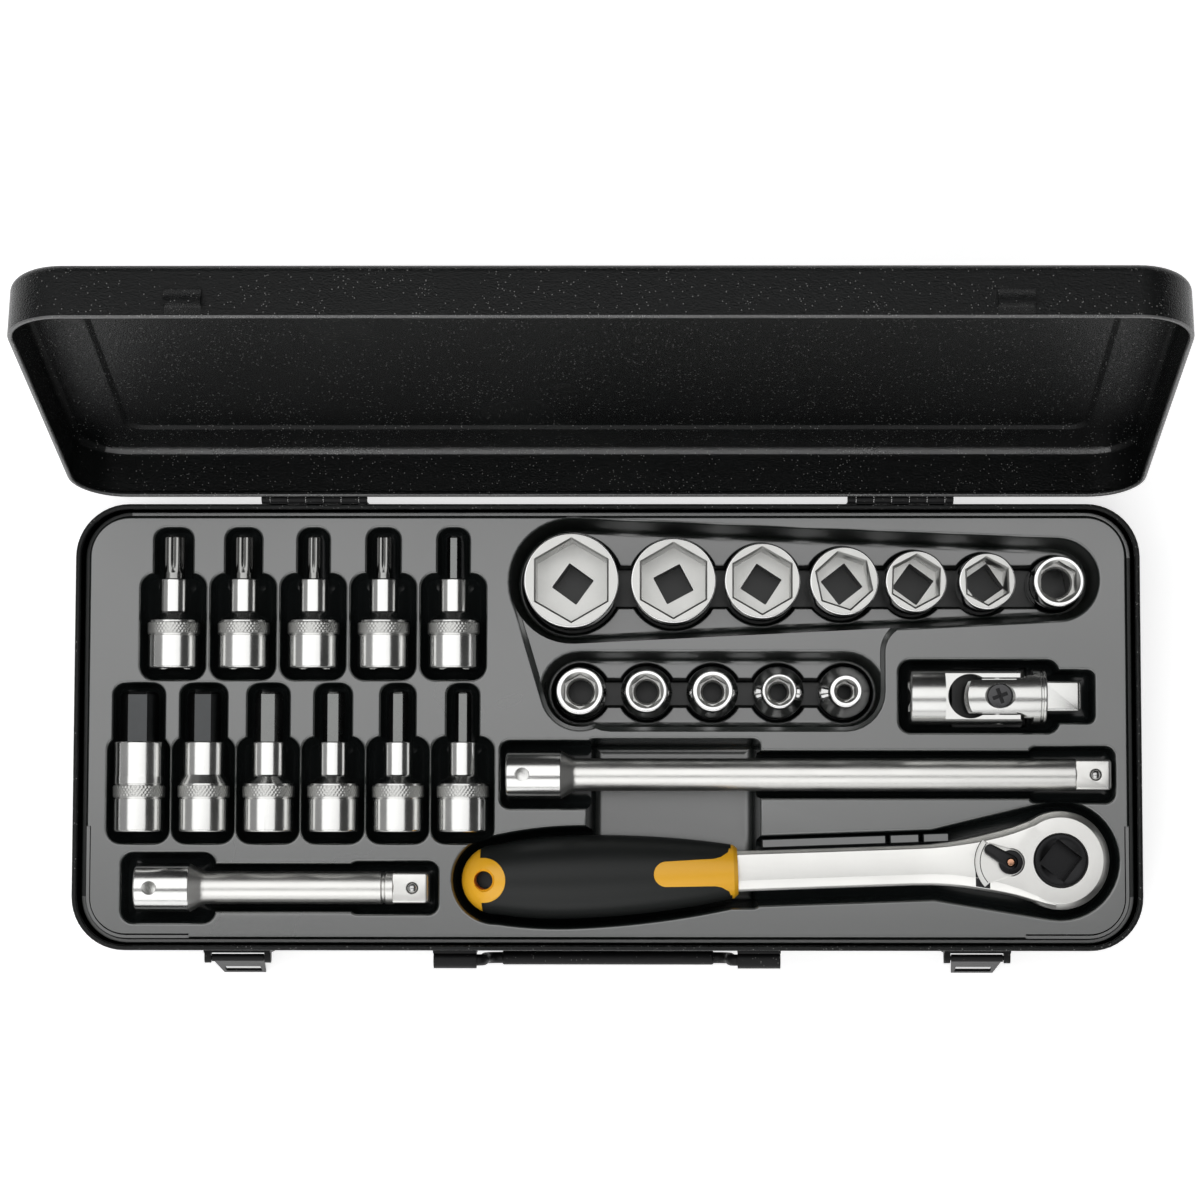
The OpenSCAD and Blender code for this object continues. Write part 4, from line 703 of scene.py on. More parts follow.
def driver_pockets():
    """For each screwdriver socket a pocket for its holder and a narrower one for its bit."""
    found, floor = [], TOOL_Z - HOLDER_R - SEAT_GAP
    behind, shoulder, overlap, tip, rise = 4.8, HOLDER_L + 2.2, 12.0, 3.6, 2.5
    for _, _, across, _, x, y, length in DRIVERS:
        half = 13.8 if y > 0 else 13.15
        narrow = max(NECK + 1, across + 7.6) / 2
        found += [rect((x - half, y - behind), (x + half, y + shoulder), 6, floor,
                       lip=1.2, fillet=8.0, draft=0.3),
                  rect((x - narrow, y + shoulder - overlap), (x + narrow, y + length + tip), 5, floor + rise,
                       lip=1.2, fillet=4.5, draft=0.4)]
    return found


def bar_pockets():
    """For each bar a wide, a slim and a middling stretch, and the finger recess across the long one."""
    floor, slim, overlap = TOOL_Z - BAR_END_R - SEAT_GAP, BAR_R + 3, 6
    x, y = LONG_BAR
    start, end = FINGER_X
    form = dict(fillet=4.0, draft=0.6)
    found = [in_line((x - 2.3, y), start + overlap, 14.25, 4, floor, fillet=6.0, draft=0.6),
             in_line((end - overlap, y), x + LONG_L - 20, slim, 3, floor, **form),
             in_line((x + LONG_L - 35, y), x + LONG_L + 1.6, 11.75, 4, floor, **form),
             rect((start, HEAD[1] - 20), (end, y + 15.05), 3, LAND - FINGER_DROP, fillet=4.0, draft=2.4)]
    x, y = SHORT_BAR
    return found + [in_line((x - 5.6, y), x + 34, 14.65, 5, floor, fillet=6.0, draft=0.6),
                    in_line((x + 24, y), x + SHORT_L - 24, slim, 5, floor, **form),
                    in_line((x + SHORT_L - 34, y), x + SHORT_L + 3.8, 10.95, 4, floor, **form)]


def joint_pockets():
    """A wide stretch, a slim one for the male square and a deeper floor under the joint's ears."""
    x, y = JOINT
    floor, wide, shoulder = TOOL_Z - YOKE_R - SEAT_GAP, YOKE_R + 3.5, x + YOKE_FRONT + 5.4
    return [in_line((x - YOKE_BACK - 4.4, y), shoulder, wide, 5, floor, fillet=5.0, draft=0.5),
            in_line((shoulder - 12, y), x + YOKE_FRONT + DRIVE_L + 6, 11.05, 3, floor, fillet=4.0, draft=0.5),
            in_line((x - 19.5, y), x + 13.5, wide - 1, 3, floor - 7,
                    top=floor + 0.5, lip=0.6, fillet=1.5, draft=0.3)]


def ratchet_pockets():
    """Head, shank, the wheel's square under the head, and the grip."""
    floor, channel = HEAD_Z - HEAD_TOP - SEAT_GAP, 14.5
    head = dict(floor=floor, fillet=5.0, draft=1.2)
    return [dict(outline=lambda g: ratchet_plan(pear_ring((0, 0), 24.8, (-52, 0), channel, g)), **head),
            dict(outline=lambda g: ratchet_plan(corner_ring((-SHANK_L - 6, -channel), (-50, channel), 3, g)),
                 **head),
            dict(outline=lambda g: ratchet_plan(round_ring((0, 0), 12.4, g)), floor=floor - PROUD - DRIVE_L,
                 top=floor, lip=0.8, fillet=1.0, draft=0.2),
            dict(outline=lambda g: ratchet_plan(grip_ring(3.6 + g)), floor=HEAD_Z - GRIP_R - SEAT_GAP,
                 fillet=7.0, draft=1.4)]


def pocket(outline, floor, top=LAND, wall=0.0, lip=1.3, draft=0.9, fillet=2.6):
    """A pocket's cavity, or with a wall the cup around it: drafted sides, filleted floor and flared lip."""
    fillet = min(fillet, (top - floor) * 0.62)
    lip = min(lip, (top - floor) * 0.5)
    quarter = [RIGHT * k / 5 for k in range(6)]
    levels = [(floor + fillet * (1 - math.cos(a)), -draft - fillet * (1 - math.sin(a))) for a in quarter]
    if wall:
        levels = [(z - wall, grow + wall) for z, grow in levels] + [(top - 0.3, wall)]
    else:
        levels += [(top - lip + lip * math.sin(a), lip * (1 - math.cos(a))) for a in quarter]
        levels.append((top + 1.5 if top == LAND else top + 0.4, lip + 0.02))
    return loft("pocket", [at_height(outline(grow), z) for z, grow in levels])


def tray_ring(inset, z, pull=0.4):
    """Outline of the tray; the land lies a little nearer to the front and back walls than to the sides."""
    pull *= min(max((inset - 2.7) / 3.9, 0), 1)
    low = (-CASE_HALF[0] + inset, -CASE_HALF[1] + inset - pull)
    return at_height(corner_ring(low, (-low[0], -low[1]), CASE_CORNER - inset, steps=12), z)


def tray_painted_light(centre, normal):
    """The land, the field, the ledges and the finger recess get the more reflective copy of the plastic as
    painted sheen; wells and tool pockets get darker copies as painted shade.
    """
    painted_sheen, well, painted_deep_shade = 0, 1, 2
    x, y, z = centre
    level = normal.z > 0.8
    if z > LAND - (3.3 if level else 1.2):
        return painted_sheen
    by_sockets = x > -41.5 and y > -5 and not (x > 121 and y < 31)
    in_finger_recess = z < 14 and -9 < x < 65 and -78 < y < 0
    if by_sockets:
        return painted_sheen if z > LEDGE - 0.9 else well
    if in_finger_recess:
        return painted_sheen
    reach = [half - CASE_CORNER - abs(c) for half, c in zip(CASE_HALF, (x, y))]
    at_rim = min(reach) < 0 and CASE_CORNER - math.hypot(*(min(r, 0) for r in reach)) < 6.2
    if at_rim:
        return painted_sheen if y < -60 and level else well
    return painted_deep_shade


def add_shelf(tray):
    """A ribbed shelf behind the shank."""
    for near, far in ((-125, -72.5), (-71, -58.5), (-57, -46)):
        rings = [at_height(corner_ring((near, 9.3), (far, 13.2), 0.6, -inset), z - HEAD_Z)
                 for inset, z in ((0, 20.5), (0, LAND - 3.0), (0.5, LAND - 2.4))]
        join(tray, loft("shank_shelf", rings, RATCHET))


def cut_corner_steps(tray):
    """A lower step in the two front corners."""
    for side in (-1, 1):
        step = loft("corner_step", [tray_ring(2.9, STRIP), tray_ring(2.9, LAND + 2)])
        cut(step, loft("corner_land", [tray_ring(8.6, 33), tray_ring(7.9, 35.4), tray_ring(7.3, LAND + 0.02),
                                       tray_ring(7.2, LAND + 3)]))
        near, far = sorted((side * 176, side * 240))
        common(step, box("corner_part", (near, -110, 30), (far, -42, 40), radius=2.0))
        cut(tray, step)


def make_tray():
    under, strip_in, land_in = 31, 2.7, 5.4
    edge = [(9, LAND - WALL), (land_in + WALL, LAND - WALL), (land_in + WALL, under - WALL),
            (strip_in + WALL, under - WALL), (strip_in + WALL, 5), (strip_in, 5), (strip_in, under, 0.6),
            (4.9, under, 0.5), (5.5, LAND, 1.0), (9, LAND)]
    tray = loft("insert_tray_sheet", [tray_ring(inset, z) for inset, z in rounded_line(edge)])
    pockets = socket_pockets() + driver_pockets() + bar_pockets() + joint_pockets() + ratchet_pockets()
    join(tray, *[pocket(**form, wall=WALL) for form in pockets])
    cut(tray, *[pocket(**form) for form in pockets])
    add_shelf(tray)
    cut_corner_steps(tray)
    # the tray's faces take the lit or the shaded copy of its plastic by where they lie: painted sheen and
    # painted shade
    dress(tray, "case", ["insert_tray", "tray_rim"], [TRAY_PLASTIC_PAINTED_SHEEN, TRAY_WELL_PAINTED_SHADE, TRAY_POCKET_PAINTED_SHADE],
          smooth=36, pick=tray_painted_light)


# ---------- sockets ----------

def square_hole(depth, place, turn=0.0, mouth=0.0):
    """Tools that cut a female drive square upwards from its mouth, and the square's lead-in."""
    half = SQUARE_HOLE / 2
    return [prism("square", square(SQUARE_HOLE, turn), mouth - 1, mouth + depth, place),
            lathe("lead", [(half, mouth + 1.2), (half + 1.9, mouth - 0.6), (half + 1.9, mouth - 1)], 48,
                  place)]


def make_socket(size, d, length, base, square_l, turns, x, y):
    """A standing socket; base is its drive end's diameter and length, turns the angles of its two holes."""
    name, place, through = "socket_%d" % size, at(x, y, SOCKET_Z), size > 16
    base_d, base_l = base
    wide = size / math.sqrt(3)
    hex_floor = square_l if through else length - 14
    groove = base_l * 0.42
    tool = lathe(name + "_body", [
        (0, 0), (base_d / 2, 0, 0.8), (base_d / 2, groove - 0.9, 0.25), (base_d / 2 - 0.35, groove, 0.4),
        (base_d / 2, groove + 0.9, 0.25), (base_d / 2, base_l, 1.0),
        (d / 2, base_l + abs(d - base_d) / 2 + 0.5, 1.0), (d / 2, length, 1.3), (d / 2 - 1.32, length),
        (0, length)], 96, place, arc=5)
    cuts = [prism("hexagon", hexagon(size, turns[0], 0.35), hex_floor, length + 2, place)]
    if through:
        flare = ((-0.05, -0.2), (0.0, 0), (0.75, 0.92), (0.75, 2))
        cuts.append(loft("mouth", [at_height(hexagon(size + 2 * grow, turns[0], 0.35), length - 0.9 + z)
                                   for grow, z in flare], place))
    else:
        cuts.append(lathe("mouth", [(size / 2 - 0.1, length - 1.5), (wide + 0.5, length + 0.02),
                                    (wide + 0.5, length + 1)], 96, place))
    cuts += square_hole(square_l + 0.01 if through else square_l, place, turns[1])
    if not through:
        bore = max(size / 2 - 1.2, 3.1)
        step = [(bore, square_l - 1), (bore, hex_floor - 0.6), (size / 2, hex_floor + 0.3)]
        cuts.append(lathe("bore", step, 64, place))
    cut(tool, *cuts)

    def pick(centre, normal):
        """Outside bright, the mouth and the inner ledges matt, the bore duller."""
        bright, matt, dull = 0, 1, 2
        reach = math.hypot(centre.x - x, centre.y - y)
        if normal.z > 0.9 and centre.z > SOCKET_Z + length - 0.3 and reach > size / 2:
            return matt if through and reach < d / 2 - 0.95 else bright
        if reach > wide + 0.9 or centre.z < SOCKET_Z + 0.5:
            return bright
        return matt if normal.z > 0.5 else dull

    dress(tool, name, [name], [CHROME, CHROME_MATT, CHROME_BORE], bevel=0.22, pick=pick)


def make_sockets():
    for size, d, length, dx, hex_turn, square_turn in BACK_SOCKETS:
        small = d < BASE_D
        base = (BASE_D, length * 0.5) if small else (d * 0.9, length * 0.35)
        make_socket(size, d, length, base, 16.0 if small else length * 0.42, (hex_turn, square_turn),
                    BACK_ROW[0] + dx, BACK_ROW[1])
    for i, (size, d, hex_turn) in enumerate(FRONT_SOCKETS):
        make_socket(size, d, SMALL_L, (BASE_D, SMALL_L * 0.55), 16.0, (hex_turn, 20),
                    FRONT_ROW[0] + i * FRONT_PITCH, FRONT_ROW[1])


# ---------- screwdriver sockets ----------

def knurl_rings(steps, count=44, rows=12, depth=0.34):
    """Rings of the holder's band with a diamond knurl."""
    rings = []
    for row in range(rows + 1):
        z = BAND[0] + (BAND[1] - BAND[0]) * row / rows
        ring = []
        for k in range(steps):
            a, shift = TURN * k / steps, row * math.pi / 2.5
            ridge = math.cos(count * a + shift) + math.cos(count * a - shift)
            r = HOLDER_R - (depth * (0.5 - 0.25 * ridge) if 0 < row < rows else depth)
            ring.append((*polar(r, a), z))
        rings.append(ring)
    return rings


def make_holder(kind, number, across, neck_d, x, y):
    steps, body, waist, neck = 264, HOLDER_BODY_R, HOLDER_BODY_R - 0.25, neck_d / 2
    place = at(x, y, TOOL_Z, ("X", -90))
    low, high = BAND
    first = rounded_line([(0, 0), (body, 0, 1.0), (body, low - 0.7), (waist, low - 0.45),
                          (waist, low - 0.1)], 5)
    last = rounded_line([(waist, high + 0.1), (waist, high + 0.45), (body, high + 0.7, 0.3),
                         (min(neck + 0.4, body), high + 3.8, 0.8), (neck, high + 4.6, 0.6),
                         (neck, HOLDER_L, 0.7), (0, HOLDER_L)], 5)
    tool = loft("%s_holder_%d_body" % (kind, number),
                lathe_rings(first, steps) + knurl_rings(steps) + lathe_rings(last, steps), place)
    wide = across + 0.1
    seat = (prism("seat", hexagon(wide, 0, 0.2), 24, 40, place) if kind == "hex" else
            lathe("seat", [(wide / 2, 24), (wide / 2, 40)], 48, place))
    cut(tool, seat, *square_hole(DRIVE_L + 1, place))
    dress(tool, "driver_%s_%d" % (kind, number), ["%s_holder_%d" % (kind, number)],
          [CHROME_SOFT, CHROME_MATT],
          pick=lambda centre, normal: int(low - 0.05 < centre.y - y < high + 0.05 and normal.y ** 2 < 0.9))


def lobes(across, depth, z, steps=72):
    """Six-lobe section at a height; depth 0 is a plain circle."""
    ring = []
    for a in (TURN * k / steps for k in range(steps)):
        dip = (0.5 - 0.5 * math.cos(6 * a)) ** 1.6
        ring.append((*polar(across / 2 * (1 - 0.26 * depth * dip), a), z))
    return ring


def make_bit(kind, number, across, x, y, length):
    if kind == "hex":
        tip = across * 0.06 + 0.35
        sections = ((across, BIT_START), (across, length - tip), (across - 1.6 * tip, length))
        rings = [at_height(hexagon(wide, 0, 0.3), z) for wide, z in sections]
    else:
        round_end, run = 40.2, 6.0
        rings = [lobes(across, 0, BIT_START), lobes(across, 0, round_end)]
        rings += [lobes(across, t * (2 - t), round_end + run * t) for t in (k / 12 for k in range(1, 13))]
        rings += [lobes(across - less, 1, length - before)
                  for less, before in ((0, 0.7), (0.5, 0.2), (1.4, 0))]
    bit = loft("%s_bit_%d_blade" % (kind, number), rings, at(x, y, TOOL_Z, ("X", -90)))
    steel = BIT_BRIGHT if kind == "lobe" else BIT_DARK if across > 11 else BIT_STEEL
    dress(bit, "driver_%s_%d" % (kind, number), ["%s_bit_%d" % (kind, number)], [steel],
          smooth=28)


def make_drivers():
    for kind, number, across, neck_d, x, y, length in DRIVERS:
        make_holder(kind, number, across, neck_d, x, y)
        make_bit(kind, number, across, x, y, length)


# ---------- extension bars ----------

def male_square(name, place):
    """Drive square along +Z from the shoulder, with a round nose and a seat for its ball; and the ball."""
    edge, nose_l, nose_in = 1.1, 1.6, 1.3
    rings = [at_height(square(SQUARE, 0, edge, 4), z) for z in (-0.4, DRIVE_L - nose_l)]
    for a in (RIGHT * k / 4 for k in range(1, 5)):
        rings.append(at_height(square(SQUARE - 2 * nose_in * (1 - math.cos(a)), 0, edge, 4),
                               DRIVE_L - nose_l + nose_l * math.sin(a)))
    nose = loft(name, rings, place)
    here = place @ at(0, -SQUARE / 2, DRIVE_L - 6.8, ("X", 90))
    cut(nose, lathe("seat", [(2.45, -3.9), (2.45, -0.25), (2.95, 0.3), (2.95, 1)], 48, here))
    ball_in = 1.5
    profile = [(BALL_R * math.sin(math.pi * k / 24), -ball_in - BALL_R * math.cos(math.pi * k / 24))
               for k in range(25)]
    return nose, lathe(name + "_ball", profile, 40, here)


def make_bar(name, body, start, length, groove):
    shoulder = length - DRIVE_L
    place = at(*start, TOOL_Z, ("Y", 90))
    profile = [(0, 0), (BAR_END_R, 0, 1.0), (BAR_END_R, 23, 0.8), (BAR_R, 29, 5.0)]
    if groove:
        profile += [(BAR_R - depth, shoulder - z, 0.3)
                    for depth, z in ((0, 5.6), (0.6, 5.0), (0.6, 4.2), (0, 3.6))]
    profile += [(BAR_R, shoulder, 0.9), (0, shoulder)]
    bar = lathe(name + "_bar", profile, 96, place, arc=6)
    cut(bar, *square_hole(DRIVE_L + 1, place),
        lathe("detent", [(2.9, 0), (2.9, 10.0), (3.3, 10.4), (3.3, 12)], 48, place @ at(0, 0, 7, ("Y", -90))))
    nose, ball = male_square(name + "_square", place @ at(0, 0, shoulder, ("Z", -90)))
    join(bar, nose)
    polished_end = start[0] + 24
    dress(bar, body, [name], [SATIN_CHROME, CHROME_SOFT], bevel=0.2,
          pick=lambda centre, normal: int(centre.x < polished_end))
    dress(ball, body, None, [PIN_STEEL], smooth=60)


# ---------- universal joint ----------

JOINT_PLACE = at(*JOINT, TOOL_Z)
JOINT_X = JOINT_PLACE @ at(0, 0, 0, ("Y", 90))
JOINT_Y = JOINT_PLACE @ at(0, 0, 0, ("X", 90))
EAR_IN, EAR_HALF, PIN_BORE = 7.9, 6.8, 2.65
BEYOND = YOKE_R + 1              # cutting tools reach this far


def make_socket_yoke():
    """Socket end: a round body that narrows to two ears left and right of the block."""
    r, crotch, crotch_r = YOKE_R, 21.5, 9.4
    yoke = lathe("joint_socket_end_yoke", [(0, -YOKE_BACK), (r, -YOKE_BACK, 1.2), (r, 12, 0.2), (0, 12)],
                 120, JOINT_X, arc=5)
    ear_r = r - 0.6
    rounds = lathe("ear_round", [(0, -BEYOND), (ear_r, -BEYOND), (ear_r, BEYOND), (0, BEYOND)], 96, JOINT_Y)
    common(yoke, join(rounds, box("ear_body", (-40, -BEYOND, -BEYOND), (0.01, BEYOND, BEYOND), JOINT_PLACE)))
    for low, high in ((-r - 4, -EAR_HALF), (EAR_HALF, r + 4)):
        cut(yoke, box("cheek", (-crotch - 1.2, low, -BEYOND), (r + 5, high, BEYOND), JOINT_Y))
    flat = crotch - crotch_r + math.sqrt(crotch_r ** 2 - EAR_IN ** 2)
    cut(yoke, box("slot", (-flat, -EAR_IN, -BEYOND), (r + 8, EAR_IN, BEYOND), JOINT_PLACE),
        lathe("crotch", [(crotch_r, -BEYOND), (crotch_r, BEYOND)], 96,
              JOINT_PLACE @ at(crotch_r - crotch, 0, 0)),
        lathe("pin_bore", [(PIN_BORE, -BEYOND), (PIN_BORE, BEYOND)], 48, JOINT_Y),
        *square_hole(15, JOINT_X, mouth=-YOKE_BACK))
    dress(yoke, "joint_socket_end", ["joint_socket_yoke"], [CHROME_JOINT], bevel=0.3)


def ear_plan():
    """Plan of the drive yoke: ears as wide as the block, flaring to the full round."""
    flare, reach, tip = 10.0, 6.0, 13.5
    corner = math.sqrt(tip ** 2 - EAR_HALF ** 2)
    side = [(reach * k / 2, EAR_HALF) for k in range(3)]
    side += arc_points(flare, -RIGHT, math.radians(70) - RIGHT, 12, (reach, EAR_HALF + flare))[1:]
    end = [(x, y) for x, y in round_ring((0, 0), tip, steps=96) if x < 0 and abs(y) < EAR_HALF]
    end.sort(key=lambda point: -point[1])
    return ([(x, -y) for x, y in side] + [(22, -15), (22, 15)] + side[::-1]
            + [(-corner, EAR_HALF)] + end + [(-corner, -EAR_HALF)])


def make_drive_yoke():
    """Drive end: ears above and below the block, and the male square."""
    r = YOKE_R
    fork = lathe("joint_drive_end_yoke", [
        (0, -13.5), (r, -13.5), (r, 17.2, 0.2), (r - 0.5, 17.6, 0.2), (r - 0.5, 18.2, 0.2), (r, 18.6, 0.2),
        (r, YOKE_FRONT, 0.8), (0, YOKE_FRONT)], 120, JOINT_X, arc=5)
    common(fork, prism("ear_plan", ear_plan(), -BEYOND, BEYOND, JOINT_PLACE))
    cut(fork, box("slot", (-30, -BEYOND, -EAR_IN), (14.4, BEYOND, EAR_IN), JOINT_PLACE),
        lathe("pin_bore", [(PIN_BORE, -BEYOND), (PIN_BORE, BEYOND)], 48, JOINT_PLACE),
        lathe("counterbore", [(5.25, r - 2.4), (5.25, r - 1.2), (6.5, r + 0.1), (6.5, BEYOND)], 64,
              JOINT_PLACE))
    nose, ball = male_square("joint_square", JOINT_X @ at(0, 0, YOKE_FRONT, ("Z", 90)))
    join(fork, nose)
    dress(fork, "joint_drive_end", ["joint_drive_yoke"], [CHROME_JOINT], bevel=0.3)
    dress(ball, "joint_drive_end", None, [PIN_STEEL], smooth=60)


def make_joint_screw():
    """Pin through the drive yoke's ears, with a flat head and a cross recess."""
    r, pin, head = YOKE_R, 2.6, 5.2
    screw = lathe("joint_screw", [(0, 0.6 - r), (pin, 0.6 - r, 0.4), (pin, r - 2.35), (head, r - 2.35, 0.2),
                                  (head, r - 0.9, 0.5), (0, r - 0.9)], 64, JOINT_PLACE)
    for turn in (20, 110):
        cut(screw, box("recess", (-3.3, -0.8, r - 1.8), (3.3, 0.8, BEYOND),
                       JOINT_PLACE @ at(0, 0, 0, ("Z", turn))))
    cut(screw, lathe("recess_middle", [(0.3, r - 2.0), (1.6, r + 0.3)], 24, JOINT_PLACE))
    # below the head's top face, the cross recess, the head's side and the pin take darker black steel as
    # painted shade
    dress(screw, "joint_drive_end", ["joint_screw_pin"], [SCREW_BLACK, BLACK_STEEL],
          bevel=0.12, pick=lambda centre, normal: int(centre.z < TOOL_Z + r - 1.0))


def make_joint():
    make_socket_yoke()
    make_drive_yoke()
    make_joint_screw()
    keep("joint_block", "joint_centre", PIN_STEEL)
    keep("joint_cross_pin", "joint_socket_end", PIN_STEEL)


# ---------- ratchet ----------

LEVER = RATCHET @ at(LEVER_X, 0, 0)
GRIP_X = RATCHET @ at(0, 0, 0, ("Y", 90))


def shank_section(half, thick, bevel_y, bevel_z, facet):
    """Section of the shank: flat faces, bevels, and on the near side a low facet beside the top face."""
    t, fall = thick / 2, 0.24
    corners = [(half, -t + bevel_z), (half, t - bevel_z), (half - bevel_y, t), (-half + facet, t),
               (-half + 1.1, t - fall * (facet - 1.1)), (-half, t - max(bevel_z, fall * facet + 0.7)),
               (-half, -t + bevel_z), (-half + bevel_y, -t), (half - bevel_y, -t)]
    return rounded_polygon(corners, 0.5)


def shank():
    """From the ferrule to the head it widens and thickens, first slowly, then in a smooth flare."""
    # distance, half width, thickness, bevel across, bevel down, facet
    stations = [
        (135.5, 8.4, 12.5, 1.6, 1.5, 4.6), (134.5, 8.5, 12.6, 1.6, 1.5, 4.6), (100, 8.4, 12.5, 1.6, 1.5, 4.6),
        (62, 8.4, 12.6, 1.6, 1.5, 4.6), (54, 8.6, 13.4, 1.7, 1.6, 4.7), (47, 9.2, 15.2, 1.9, 1.8, 4.9),
        (41, 10.0, 17.0, 2.1, 2.1, 5.0), (36, 10.9, 17.8, 2.4, 2.4, 5.0), (30, 12.1, 18.0, 2.6, 2.6, 4.9),
        (24, 13.4, 18.0, 2.7, 2.6, 4.5), (19, 14.7, 18.0, 2.7, 2.6, 4.0), (15, 16.0, 18.0, 2.7, 2.6, 3.6),
        (11, 17.4, 18.0, 2.7, 2.6, 3.2), (7, 18.7, 18.0, 2.7, 2.6, 3.0), (3, 19.6, 18.0, 2.7, 2.6, 3.0)]
    rings = [[(-d, y, z) for y, z in shank_section(*section)] for d, *section in stations]
    return loft("shank", rings, RATCHET)


def fan(reach, spread, step):
    """Points along an arc about the lever, on the shank's side, in whole degrees."""
    angles = [math.radians(t) for t in range(spread, -spread - 1, -step)]
    return [(-reach * math.cos(t), reach * math.sin(t)) for t in angles]


def lever_rooms():
    """Cutting tools for the recess around the lever: the fan, its edge, the arc in its floor, the arms."""
    top, floor = HEAD_TOP, HEAD_TOP - 2.5
    hub, spread = [(-0.2, -0.4), (-0.2, 0.4)], 42
    rooms = [prism("fan_room", hub + fan(15.0, spread, 6), floor, top + 2, LEVER),
             prism("fan_edge", hub + fan(15.35, spread, 6), top - 0.5, top + 2, LEVER),
             prism("fan_arc", fan(12.85, 40, 4) + fan(12.5, 40, 4)[::-1], floor - 0.4, floor + 0.3, LEVER)]
    rooms += [prism("arm_room", pear_ring((0, 0), 5.5, (10.0, 0), 2.85), floor, top + 2,
                    LEVER @ at(0, 0, 0, ("Z", 180 + side * 33))) for side in (-1, 1)]
    return rooms


def lever_recess_painted_shade(centre, normal):
    """The walls of the lever's recess and the arc in its floor are painted dark in black steel as shade; its
    edge and its floor aren't.
    """
    local = LEVER.inverted() @ centre
    reach, aside = local.xy.length, math.degrees(math.atan2(abs(local.y), -local.x))
    inside = reach < 15.5 and aside < 43 or reach < 5.95
    edge = local.z > HEAD_TOP - 0.05 or 0.3 < normal.z < 0.97
    floor = normal.z > 0.7 and HEAD_TOP - 2.6 < local.z < HEAD_TOP - 2
    return int(inside and local.z > HEAD_TOP - 3 and not edge and not floor)


def make_ratchet_body():
    top = HEAD_TOP
    body = lathe("ratchet_head_and_shank", [
        (0, -top), (18.0, -top, 0.5), (20.7, -top + 2.6, 1.2), (20.7, top - 2.6, 1.2), (18.0, top, 0.5),
        (0, top)], 144, RATCHET, arc=5)
    join(body, shank())
    join(body, box("tang", (-SHANK_L - 26, -5, -3.5), (-SHANK_L + 1, 5, 3.5), RATCHET))
    cut(body,
        lathe("wheel_bore", [(11.05, -top - 1), (11.05, top - 0.6), (11.6, top), (11.6, top + 1)], 96,
              RATCHET),
        lathe("gear_room", [(14.4, -top - 1), (14.4, 5.0)], 96, RATCHET),
        prism("cover_room", pear_ring((0, 0), 16.3, (LEVER_X, 0), 8.1, steps=30), -top - 1, -top + 1.8,
              RATCHET),
        lathe("pawl_room", [(6.8, -top - 1), (6.8, 3.8)], 64, LEVER),
        lathe("stem_bore", [(3.0, 0), (3.0, top + 1)], 48, LEVER),
        lathe("lever_room", [(5.5, top - 2.5), (5.5, top - 0.4), (5.9, top), (5.9, top + 1)], 64, LEVER),
        *lever_rooms())
    # the walls of the lever's recess take black steel as painted shade
    dress(body, "ratchet", ["ratchet_body"], [SATIN_CHROME, BLACK_STEEL], smooth=26,
          bevel=0.2, pick=lever_recess_painted_shade)


def make_ratchet_wheel():
    top, collar, teeth = HEAD_TOP + PROUD, 11, 36
    wheel = lathe("ratchet_wheel_turned", [(0, -top), (collar, -top, 0.4), (collar, top, 0.5), (0, top)],
                  96, RATCHET)
    gear = [polar(r, TURN * (i + shift) / teeth)
            for i in range(teeth) for shift, r in ((0, 13.1), (0.5, 14.0))]
    join(wheel, prism("teeth", gear, -6.8, 4.6, RATCHET))
    turned = RATCHET @ at(0, 0, 0, ("Z", 50))
    cut(wheel, prism("square", square(SQUARE_HOLE, 0, 0.4), top - 11, HEAD_TOP + 2, turned),
        lathe("dish", [(7.2, HEAD_TOP - 0.3), (8.6, top + 0.02), (8.6, HEAD_TOP + 2)], 64, RATCHET))
    nose, ball = male_square("ratchet_square", RATCHET @ at(0, 0, -top, ("X", 180)))
    join(wheel, nose)
    dress(wheel, "ratchet_drive", ["ratchet_wheel"], [BLACK_STEEL], bevel=0.2)
    dress(ball, "ratchet_drive", None, [PIN_STEEL], smooth=60)


def make_reverse_lever():
    """Round hub, arm and the pawl at the foot of its stem; and the pin in the hub."""
    top, half, arm_l, pawl_r = HEAD_TOP, 33.0, 10.0, 6.4
    stem = lathe("reverse_lever_turned", [(0, -6.8), (2.95, -6.8), (2.95, top - 2.35), (5.1, top - 2.35, 0.2),
                                          (5.1, top + 0.35, 0.6), (0, top + 0.35)], 64, LEVER)
    arm = loft("arm", [at_height(pear_ring((0, 0), 3.1 - inset, (arm_l, 0), 2.4 - inset), z)
                       for z, inset in ((top - 2.2, 0), (top + 0.1, 0), (top + 0.6, 0.2), (top + 0.85, 0.7))],
               LEVER @ at(0, 0, 0, ("Z", 180 - half)))
    wedge = [(0, 0)] + arc_points(pawl_r, math.radians(-38), math.radians(38), 19)
    join(stem, arm, prism("pawl", wedge, -6.8, 3.4, LEVER @ at(0, 0, 0, ("Z", -half))))
    cut(stem, lathe("pin_hole", [(1.65, top - 1), (1.65, top + 0.2), (2.0, top + 0.6), (2.0, top + 2)],
                    48, LEVER))
    dress(stem, "ratchet_lever", ["reverse_lever"], [BLACK_STEEL], bevel=0.15)
    pin = lathe("lever_pin_head", [(0, top - 0.95), (1.6, top - 0.95), (1.6, top + 0.65, 0.4),
                                   (0, top + 0.65)], 48, LEVER)
    dress(pin, "ratchet_lever", ["lever_pin"], [COPPER])


